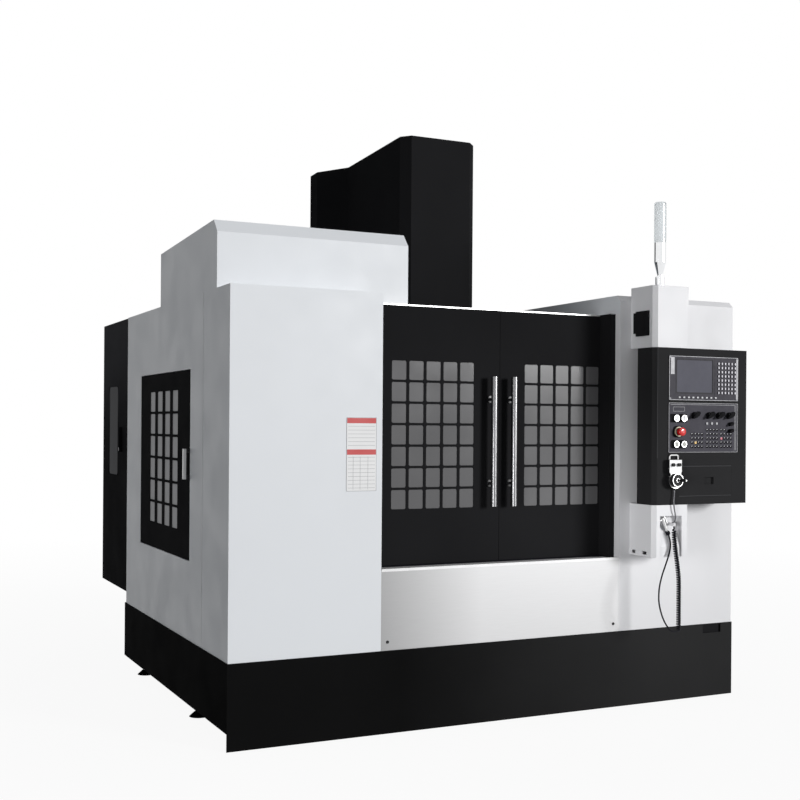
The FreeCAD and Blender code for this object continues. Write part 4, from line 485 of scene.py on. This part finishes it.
def tube(mesh, route, radius, sides=12):
    """A closed round bar along a route of corner points."""
    points = [at(*place) for place in route]
    rings = []
    for i, point in enumerate(points):
        ahead = (points[min(i + 1, len(points) - 1)] - points[max(i - 1, 0)]).normalized()
        side = ahead.cross(Vector((0, 1, 0))).normalized()
        up = side.cross(ahead)
        rings.append([mesh.verts.new(point + (side * math.cos(a) + up * math.sin(a)) * radius / 1000)
                      for a in turn(sides)])
    skin(mesh, rings)
    mesh.faces.new(rings[0])
    mesh.faces.new(rings[-1])


def piece(name, material, body, slot, draw):
    """Makes one piece of the scene: draw fills its mesh."""
    mesh = bmesh.new()
    draw(mesh)
    bmesh.ops.recalc_face_normals(mesh, faces=mesh.faces)
    data = bpy.data.meshes.new(name)
    mesh.to_mesh(data)
    mesh.free()
    data.materials.append(material)
    made = bpy.data.objects.new(name, data)
    bpy.context.scene.collection.objects.link(made)
    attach(made, body)
    return made


PLATE = -204.0  # the front plane of the control unit and of the operator panel
KEY, KEY_FRONT = 13.0, PLATE - 3.4
KNOB_XS, KNOB_Z, KNOB_LEAN = (2454, 2551, 2618, 2687), 1532.5, math.radians(32)
LEVER_X, LEVER_ZS, LEVER_LEAN = 2693, (1487, 1451), math.radians(28)
STOP_X, STOP_Z = 2352, 1446


def caps(mesh, left, low, columns, rows, across, up, wide=KEY, high=KEY, skip=()):
    for i in range(columns):
        for j in range(rows):
            if (i, j) in skip:
                continue
            x, z = left + across * i, low + up * j
            bar(mesh, x - 0.3, x + wide + 0.3, KEY_FRONT, PLATE, z - 0.3, z + high + 0.3, 1.2)


def marks(mesh, left, low, columns, rows, pitch):
    """A small lamp in the upper left corner of each key."""
    for i in range(columns):
        for j in range(rows):
            x, z = left + pitch * i, low + pitch * j
            corner = [(x + 1.5, z + 5), (x + 8.5, z + 11.5), (x + 1.5, z + 11.5)]
            plate(mesh, corner, KEY_FRONT - 0.3, KEY_FRONT)


PITCH = 21.9
KEY_GROUPS = ((2435, 4, 4), (2535, 4, 5), (2629, 4, 4))
LOW_KEYS = 1361.0


def draw_panel_caps(mesh):
    for left, columns, rows in KEY_GROUPS:
        skip = {2435: ((1, 1),), 2629: ((0, 2),)}.get(left, ())
        caps(mesh, left, LOW_KEYS, columns, rows, PITCH, PITCH, skip=skip)
    caps(mesh, 2629, LOW_KEYS + PITCH * 4, 2, 1, PITCH, PITCH)


def draw_panel_marks(mesh):
    for left, columns, rows in KEY_GROUPS:
        marks(mesh, left, LOW_KEYS, columns, rows, PITCH)
    marks(mesh, 2629, LOW_KEYS + PITCH * 4, 2, 1, PITCH)


def draw_border(mesh, x0, x1, z0, z1, wide, y0, y1, radius=4):
    frame_of(mesh, rounded_outline(x0, x1, z0, z1, radius),
             rounded_outline(x0 + wide, x1 - wide, z0 + wide, z1 - wide, radius), y0, y1)


def draw_unit_rim(mesh):
    draw_border(mesh, 2291, 2748, 1610, 1839, 2.6, PLATE - 0.8, PLATE)
    bar(mesh, 2735, 2745, PLATE - 1.2, PLATE, 1620, 1830, 1)
    bar(mesh, 2301, 2325, PLATE - 0.8, PLATE, 1744, 1832, 0.7)
    for x, z in ((2299, 1831), (2740, 1831), (2299, 1618), (2740, 1618)):
        ring(mesh, x, z, 1.2, 4, PLATE - 1.6, PLATE)


def draw_gasket(mesh):
    draw_border(mesh, 2334, 2582, 1644, 1826, 7, PLATE - 0.9, PLATE + 2, 6)
    bar(mesh, 2590, 2592, PLATE - 0.6, PLATE, 1632, 1830)


piece("unit_rim", trim_grey, PENDANT, "unit_plastic", draw_unit_rim)
piece("screen_gasket", gasket, PENDANT, "black_plastic", draw_gasket)
piece("screen_pane", screen_glass, PENDANT, "unit_plastic",
      lambda mesh: plate(mesh, rounded_outline(2340.5, 2575.5, 1650.5, 1819.5, 5), PLATE + 1.2, PLATE + 1.9))
piece("unit_keys", key_light, PENDANT, "unit_plastic",
      lambda mesh: caps(mesh, 2612, 1645, 6, 8, 22.2, 22, wide=9))
piece("soft_keys", key_mark, PENDANT, "unit_plastic",
      lambda mesh: caps(mesh, 2351, 1620, 9, 1, 29.8, 1, high=9.1))
piece("panel_key_caps", key_dark, PENDANT, "panel_plastic", draw_panel_caps)
piece("panel_key_marks", key_mark, PENDANT, "panel_plastic", draw_panel_marks)
piece("yellow_key", key_yellow, PENDANT, "panel_plastic",
      lambda mesh: caps(mesh, 2435 + PITCH, LOW_KEYS + PITCH, 1, 1, 1, 1))
piece("red_key", key_red, PENDANT, "panel_plastic",
      lambda mesh: caps(mesh, 2629, LOW_KEYS + PITCH * 2, 1, 1, 1, 1))
piece("panel_lamps", trim_grey, PENDANT, "panel_plastic",
      lambda mesh: caps(mesh, 2533, 1483, 3, 1, 32.5, 1))


def draw_panel_rim(mesh):
    draw_border(mesh, 2290, 2748, 1338, 1596, 2.4, PLATE - 0.9, PLATE)
    bar(mesh, 2734, 2737, PLATE - 0.6, PLATE, 1348, 1588)
    bar(mesh, 2726, 2728, PLATE - 0.6, PLATE, 1348, 1588)
    bar(mesh, 2301, 2726, PLATE - 0.4, PLATE, 1586, 1588)
    draw_border(mesh, 2318, 2393, 1551, 1575, 1.6, PLATE - 0.6, PLATE, 2)


# dark plates behind the key switches, the lit buttons and the stop button; in part they are painted shade of
# these protruding parts
def draw_shade_fields(mesh):
    plate(mesh, rounded_outline(2301, 2404, 1494, 1538, 3), PLATE - 3, PLATE)
    plate(mesh, rounded_outline(2303, 2404, 1359, 1403, 12), PLATE - 3, PLATE)
    plate(mesh, rounded_outline(2318, 2382, 1416, 1476, 20), PLATE - 3, PLATE)


def draw_switch_rings(mesh):
    for x in (2334, 2382.5):
        for z in (1515, 1381):
            ring(mesh, x, z, 12.6, 17.2, PLATE - 12.5, PLATE)


piece("panel_rim", panel_trim, PENDANT, "panel_plastic", draw_panel_rim)
piece("panel_shade_fields", key_dark, PENDANT, "panel_plastic", draw_shade_fields)
piece("switch_rings", steel_turned, PENDANT, "switch_metal", draw_switch_rings)
piece("stop_collar", collar_cream, PENDANT, "clear_cap",
      lambda mesh: ring(mesh, STOP_X, STOP_Z, 21, 25.5, PLATE - 8.4, PLATE))


def draw_stop_dome(mesh):
    """The rounded face of the stop button's mushroom head."""
    outlines = [circle_outline(STOP_X, STOP_Z, radius) for radius in (22.3, 21.6, 19, 14, 7)]
    fronts = [PLATE - rise for rise in (30, 35.5, 38.6, 40.4, 41.2)]
    loops = [[mesh.verts.new(at(x, y, z)) for x, z in outline] for outline, y in zip(outlines, fronts)]
    skin(mesh, loops)
    mesh.faces.new(loops[0])
    mesh.faces.new(loops[-1])


piece("stop_dome", red_plastic, "stop", "stop_red", draw_stop_dome)


def leaning(x, z, lean, shape):
    """A shape's outline turned by its lean and set at a point of the panel."""
    along, aside = math.cos(lean), math.sin(lean)
    return [(x + along * u - aside * v, z + aside * u + along * v) for u, v in shape]


POINTER = ((-26, -6), (-12, -10), (14, -11), (27, -3), (24, 8), (8, 11), (-8, 8), (-26, 2))
LEVER = ((-14, -4), (-7, -8), (9, -9), (14, -1), (12, 7), (4, 8), (-14, 2))
for index, x in enumerate(KNOB_XS, 1):
    outline = leaning(x, KNOB_Z, KNOB_LEAN, POINTER)
    piece(f"knob_pointer_{index}", key_dark, f"knob_{index}", "black_plastic",
          lambda mesh: plate(mesh, outline, PLATE - 26.5, PLATE - 8))
for index, z in enumerate(LEVER_ZS, 1):
    outline = leaning(LEVER_X, z, LEVER_LEAN, LEVER)
    piece(f"axis_lever_{index}", key_dark, f"axis_selector_{index}", "black_plastic",
          lambda mesh: plate(mesh, outline, PLATE - 21, PLATE - 6))

# hand wheel unit
WHEEL_X, WHEEL_Z, WHEEL_FACE = 2316.0, 1196.0, -230.0
HOOK_X, HOOK = WHEEL_X + 6, 27.0


def draw_case_front(mesh):
    x, z, half = WHEEL_X, WHEEL_Z, 40
    outline = [(x - half + 1, z + half + 2), (x - half * 0.72, z + 24), (x + half * 0.72, z + 24),
               (x + half - 1, z + half + 2), (x + half - 1, 1300), (x - half + 1, 1300)]
    plate(mesh, outline, WHEEL_FACE - 0.6, WHEEL_FACE)


def draw_dial_ring(mesh):
    ring(mesh, WHEEL_X, WHEEL_Z, 36.8, 43.2, WHEEL_FACE - 1.2, WHEEL_FACE)
    for x, z in circle_outline(WHEEL_X, WHEEL_Z, 40, 10):
        ring(mesh, x, z, 0.3, 0.8, WHEEL_FACE - 1.6, WHEEL_FACE - 1.2)


def draw_wheel_rim(mesh):
    ring(mesh, WHEEL_X, WHEEL_Z, 30.5, 34.5, WHEEL_FACE - 21, WHEEL_FACE - 20)
    ring(mesh, WHEEL_X, WHEEL_Z, 8, 11, WHEEL_FACE - 21.2, WHEEL_FACE - 20)
    ring(mesh, WHEEL_X + 26, WHEEL_Z, 1, 4, WHEEL_FACE - 54.6, WHEEL_FACE - 54)


def hook_route():
    route = [(HOOK_X - HOOK, 1301), (HOOK_X - HOOK, 1316)]
    for start in (180, 90):
        x = HOOK_X + (HOOK - 9) * (-1 if start == 180 else 1)
        angles = [math.radians(start - 15 * i) for i in range(7)]
        route += [(x + 9 * math.cos(angle), 1315.5 + 9 * math.sin(angle)) for angle in angles]
    route += [(HOOK_X + HOOK, 1316), (HOOK_X + HOOK, 1301)]
    return [(x, -207.5, z) for x, z in route]


piece("wheel_case_front", case_white, PENDANT, "unit_plastic", draw_case_front)
piece("wheel_dial_ring", steel_turned, PENDANT, "switch_metal", draw_dial_ring)
piece("wheel_rim", steel_turned, "wheel", "switch_metal", draw_wheel_rim)
piece("hook_wire", case_white, PENDANT, "switch_metal", lambda mesh: tube(mesh, hook_route(), 3.7))


# painted highlights: thin grey bars along the flap's top and bottom edges and down the pendant's corner,
# standing in for light caught there
def draw_flap_highlights(mesh):
    bar(mesh, 2363, 2709, -200.9, -200, 1264, 1267.5, 0.3)
    bar(mesh, 2363, 2709, -200.9, -200, 1109, 1112, 0.3)


piece("flap_edge_highlight", faint_highlight, "flap", "black_paint", draw_flap_highlights)
piece("pendant_edge_highlight", faint_highlight, PENDANT, "black_paint",
      lambda mesh: bar(mesh, 2219, 2222, -200.7, -199, 1308, 1878, 0.3))

# --- plates, seams and screws of the enclosure -----------------------------------------------------------

chart_white = powder_coat("chart_white", (0.74, 0.74, 0.74), 0.45, change=0.02, gloss=0.3)
chart_red = powder_coat("chart_red", (0.50, 0.05, 0.05), 0.45, change=0.05, gloss=0.3)
chart_grey = powder_coat("chart_grey", (0.36, 0.37, 0.38), 0.45, change=0.03, gloss=0.3)
seam_light = powder_coat("seam_light", (0.78, 0.79, 0.80), 0.4, change=0.02, gloss=0.3)
window_pane = tinted_pane("cabinet_pane", (0.125, 0.125, 0.13), gloss=0.001)


def draw_chart_lines(mesh):
    draw_border(mesh, 570, 725, 1157, 1505, 2, -1.4, -1, 3)
    for z in range(1172, 1320, 18):
        bar(mesh, 578, 717, -1.5, -1, z, z + 1.6)
    for z in range(1372, 1470, 18):
        bar(mesh, 578, 717, -1.5, -1, z, z + 1.6)
    for x in (604, 640, 680):
        bar(mesh, x, x + 1.4, -1.5, -1, 1165, 1320)


def draw_chart_bands(mesh):
    bar(mesh, 573, 722, -1.5, -1, 1477, 1502)
    bar(mesh, 573, 722, -1.5, -1, 1329, 1354)


piece("chart_plate", chart_white, ROOT, "white_paint",
      lambda mesh: plate(mesh, rounded_outline(570, 725, 1157, 1505, 3), -1, 0))
piece("chart_lines", chart_grey, ROOT, "white_paint", draw_chart_lines)
piece("chart_bands", chart_red, ROOT, "stop_red", draw_chart_bands)
piece("left_seam_strip", seam_light, ROOT, "white_paint",
      lambda mesh: bar(mesh, -0.8, 0, 417, 423, 400, 2096, 0.3))


def draw_window(mesh, y0, y1, z0, z1, radius, outside, inside):
    """A pane in the cabinet's door, whose outline lies in Y and Z."""
    outline = rounded_outline(y0, y1, z0, z1, radius)
    near = [mesh.verts.new(at(outside, y, z)) for y, z in outline]
    far = [mesh.verts.new(at(inside, y, z)) for y, z in outline]
    mesh.faces.new(near)
    mesh.faces.new(list(reversed(far)))
    skin(mesh, [near, far])


piece("cabinet_window_frame", cabinet_black_shaded, "cabinet_leaf", "black_paint",
      lambda mesh: draw_window(mesh, 2236, 2516, 1146, 1699, 60, 0.4, 2.4))
piece("cabinet_window_pane", window_pane, "cabinet_leaf", "window_glass",
      lambda mesh: draw_window(mesh, 2262, 2483, 1150, 1696, 20, 0.1, 0.4))
piece("cabinet_lock", trim_grey, "cabinet_leaf", "switch_metal",
      lambda mesh: draw_window(mesh, 2142, 2152, 1300, 1322, 4.9, -20, -18))


def draw_handle_feet(mesh):
    for z in (1193, 1324):
        bar(mesh, -13.9, -0.3, 651.4, 672.6, z - 0.6, z + 20.6)


piece("side_handle_feet", bracket_black, "service_leaf", "black_plastic", draw_handle_feet)


def draw_chip_tray(mesh):
    """Two folded trays with raised rims, one on each side of the bed."""
    for x0, x1 in ((60, 990), (1900, 2830)):
        bar(mesh, x0, x1, 250, 2150, 396, 399, 0.5)
        for x in (x0, x1 - 3):
            bar(mesh, x, x + 3, 250, 2150, 396, 411, 0.5)
        for y in (250, 2147):
            bar(mesh, x0, x1, y, y + 3, 396, 411, 0.5)


def draw_slot_backing(mesh):
    bar(mesh, 2690, 2817, 6, 8, 343, 391, 0.5)
    bar(mesh, 2690, 2817, 6, 14, 343, 345, 0.5)


piece("chip_tray", black, ROOT, "black_paint", draw_chip_tray)
piece("slot_backing", black, ROOT, "black_paint", draw_slot_backing)


def draw_apron_screws(mesh):
    for x in (790, 2098):
        ring(mesh, x, 436, 2.2, 7, -2.6, 0)


piece("apron_screws", key_dark, ROOT, "black_plastic", draw_apron_screws)
# painted highlights: white bars along the apron's top edge and over its top, standing in for the light these
# steel faces catch
piece("apron_lip_highlight", case_white, ROOT, "white_paint",
      lambda mesh: bar(mesh, 757, 2132, -0.8, 1, 771, 784, 0.3))
piece("apron_shelf_highlight", case_white, ROOT, "white_paint",
      lambda mesh: bar(mesh, 757, 2098, 1.2, 98, 778.1, 779, 0.3))
piece("sill_wiper", rubber, ROOT, "black_plastic",
      lambda mesh: bar(mesh, 757, 2098, 98, 141, 778.1, 782, 0.3))


DOOR_SEAM, HANDLE_FROM_SEAM = 1483.5, 59
HANDLE_BOTTOM, HANDLE_LENGTH, POST_INSET = 1061, 658, 115


def draw_brackets(mesh, side):
    """Dark sleeves on the two posts of a door handle."""
    x = DOOR_SEAM + side * HANDLE_FROM_SEAM
    for z in (HANDLE_BOTTOM + POST_INSET, HANDLE_BOTTOM + HANDLE_LENGTH - POST_INSET):
        loops = []
        for y, radius in ((141.9, 17.4), (135.4, 17.4), (135.2, 7.5), (110, 7.5), (110, 6.8)):
            loops.append([mesh.verts.new(at(x + radius * math.cos(a), y, z + radius * math.sin(a)))
                          for a in turn(32)])
        skin(mesh, loops)


piece("left_brackets", bracket_black, "left_leaf", "black_plastic", lambda mesh: draw_brackets(mesh, -1))
piece("right_brackets", bracket_black, "right_leaf", "black_plastic", lambda mesh: draw_brackets(mesh, 1))


def draw_gun_nut(mesh):
    """The swivel nut that joins hose and gun, along the gun's own lean."""
    foot = at(*GUN_FOOT)
    lean = Vector((-math.sin(math.radians(25)), 0, math.cos(math.radians(25))))
    side = Vector((lean.z, 0, -lean.x))
    loops = []
    for along, radius in ((-8, 5), (-8, 9.5), (-5, 11.5), (7, 11.5), (11, 9), (11, 7)):
        loops.append([mesh.verts.new(foot + lean * along / 1000 +
                                     (side * math.cos(a) + Vector((0, 1, 0)) * math.sin(a)) * radius / 1000)
                      for a in turn(24)])
    skin(mesh, loops)


piece("gun_nut", rubber, ROOT, "black_plastic", draw_gun_nut)

# --- room and light ---------------------------------------------------------------------------------


def seen_or_mirrored(nodes, links):
    """1 for rays of the camera and for rays mirrored or passed on by a surface, else 0."""
    path = nodes.new("ShaderNodeLightPath")
    some = nodes.new("ShaderNodeMath")
    some.operation = "MAXIMUM"
    most = nodes.new("ShaderNodeMath")
    most.operation = "MAXIMUM"
    links.new(path.outputs["Is Camera Ray"], some.inputs[0])
    links.new(path.outputs["Is Transmission Ray"], some.inputs[1])
    links.new(some.outputs[0], most.inputs[0])
    links.new(path.outputs["Is Glossy Ray"], most.inputs[1])
    return most.outputs[0]


def make_floor():
    """A floor that glows nearly white to the eye, keeps a shadow and lights the object dimly."""
    mesh = bpy.data.meshes.new("floor")
    size = 60
    mesh.from_pydata([(-size, -size, 0), (size, -size, 0), (size, size, 0), (-size, size, 0)], [],
                     [(0, 1, 2, 3)])
    floor = bpy.data.objects.new("floor", mesh)
    bpy.context.scene.collection.objects.link(floor)
    material = bpy.data.materials.new("floor_paper")
    material.use_nodes = True
    nodes = material.node_tree.nodes
    links = material.node_tree.links
    nodes.clear()
    paper = nodes.new("ShaderNodeBsdfDiffuse")
    paper.inputs["Color"].default_value = (0.55, 0.55, 0.55, 1)
    seen_paper = nodes.new("ShaderNodeBsdfDiffuse")
    seen_paper.inputs["Color"].default_value = (0.95, 0.95, 0.95, 1)
    glow = nodes.new("ShaderNodeEmission")
    glow.inputs["Color"].default_value = (1, 1, 1, 1)
    where = nodes.new("ShaderNodeTexCoord")
    distance = nodes.new("ShaderNodeVectorMath")
    distance.operation = "LENGTH"
    share = nodes.new("ShaderNodeMapRange")
    share.inputs["From Min"].default_value = 2.0
    share.inputs["From Max"].default_value = 9.0
    share.inputs["To Min"].default_value = 0.93
    share.inputs["To Max"].default_value = 1.0
    shown = nodes.new("ShaderNodeMixShader")
    mix = nodes.new("ShaderNodeMixShader")
    out = nodes.new("ShaderNodeOutputMaterial")
    links.new(where.outputs["Object"], distance.inputs[0])
    links.new(distance.outputs["Value"], share.inputs["Value"])
    links.new(share.outputs["Result"], shown.inputs["Fac"])
    links.new(seen_paper.outputs[0], shown.inputs[1])
    links.new(glow.outputs[0], shown.inputs[2])
    links.new(seen_or_mirrored(nodes, links), mix.inputs["Fac"])
    links.new(paper.outputs[0], mix.inputs[1])
    links.new(shown.outputs[0], mix.inputs[2])
    links.new(mix.outputs[0], out.inputs["Surface"])
    mesh.materials.append(material)


def make_world():
    """A world that is white where it is seen or mirrored, and dim where it lights the object."""
    world = bpy.data.worlds.new("room")
    bpy.context.scene.world = world
    world.use_nodes = True
    nodes = world.node_tree.nodes
    links = world.node_tree.links
    nodes.clear()
    dim = nodes.new("ShaderNodeBackground")
    dim.inputs["Color"].default_value = (0.95, 0.97, 1.0, 1)
    dim.inputs["Strength"].default_value = 0.228
    bright = nodes.new("ShaderNodeBackground")
    bright.inputs["Color"].default_value = (1, 1, 1, 1)
    bright.inputs["Strength"].default_value = 1.0
    mix = nodes.new("ShaderNodeMixShader")
    out = nodes.new("ShaderNodeOutputWorld")
    links.new(seen_or_mirrored(nodes, links), mix.inputs["Fac"])
    links.new(dim.outputs[0], mix.inputs[1])
    links.new(bright.outputs[0], mix.inputs[2])
    links.new(mix.outputs[0], out.inputs["Surface"])


def make_sun(name, direction, strength, angle):
    data = bpy.data.lights.new(name, "SUN")
    data.energy = strength
    data.angle = math.radians(angle)
    sun = bpy.data.objects.new(name, data)
    sun.rotation_euler = Vector(direction).to_track_quat("-Z", "Y").to_euler()
    bpy.context.scene.collection.objects.link(sun)


def make_softbox(name, place, target, size, spread, power):
    """A large square lamp with a grid, which faces a target."""
    data = bpy.data.lights.new(name, "AREA")
    data.size = size
    data.spread = math.radians(spread)
    data.energy = power
    lamp = bpy.data.objects.new(name, data)
    lamp.location = at(*place)
    lamp.rotation_euler = (at(*target) - lamp.location).to_track_quat("-Z", "Y").to_euler()
    bpy.context.scene.collection.objects.link(lamp)


make_floor()
make_world()
make_sun("key", (-0.54, 0.82, -0.17), 2.7, 15)
make_softbox("left_fill", (-100, -1300, 1050), (2150, -100, 1050), 0.8, 34, 1.7)
make_softbox("upper_fill", (-100, -1300, 2150), (2150, -100, 2150), 0.6, 22, 0.42)

bpy.context.scene.view_settings.view_transform = "Standard"
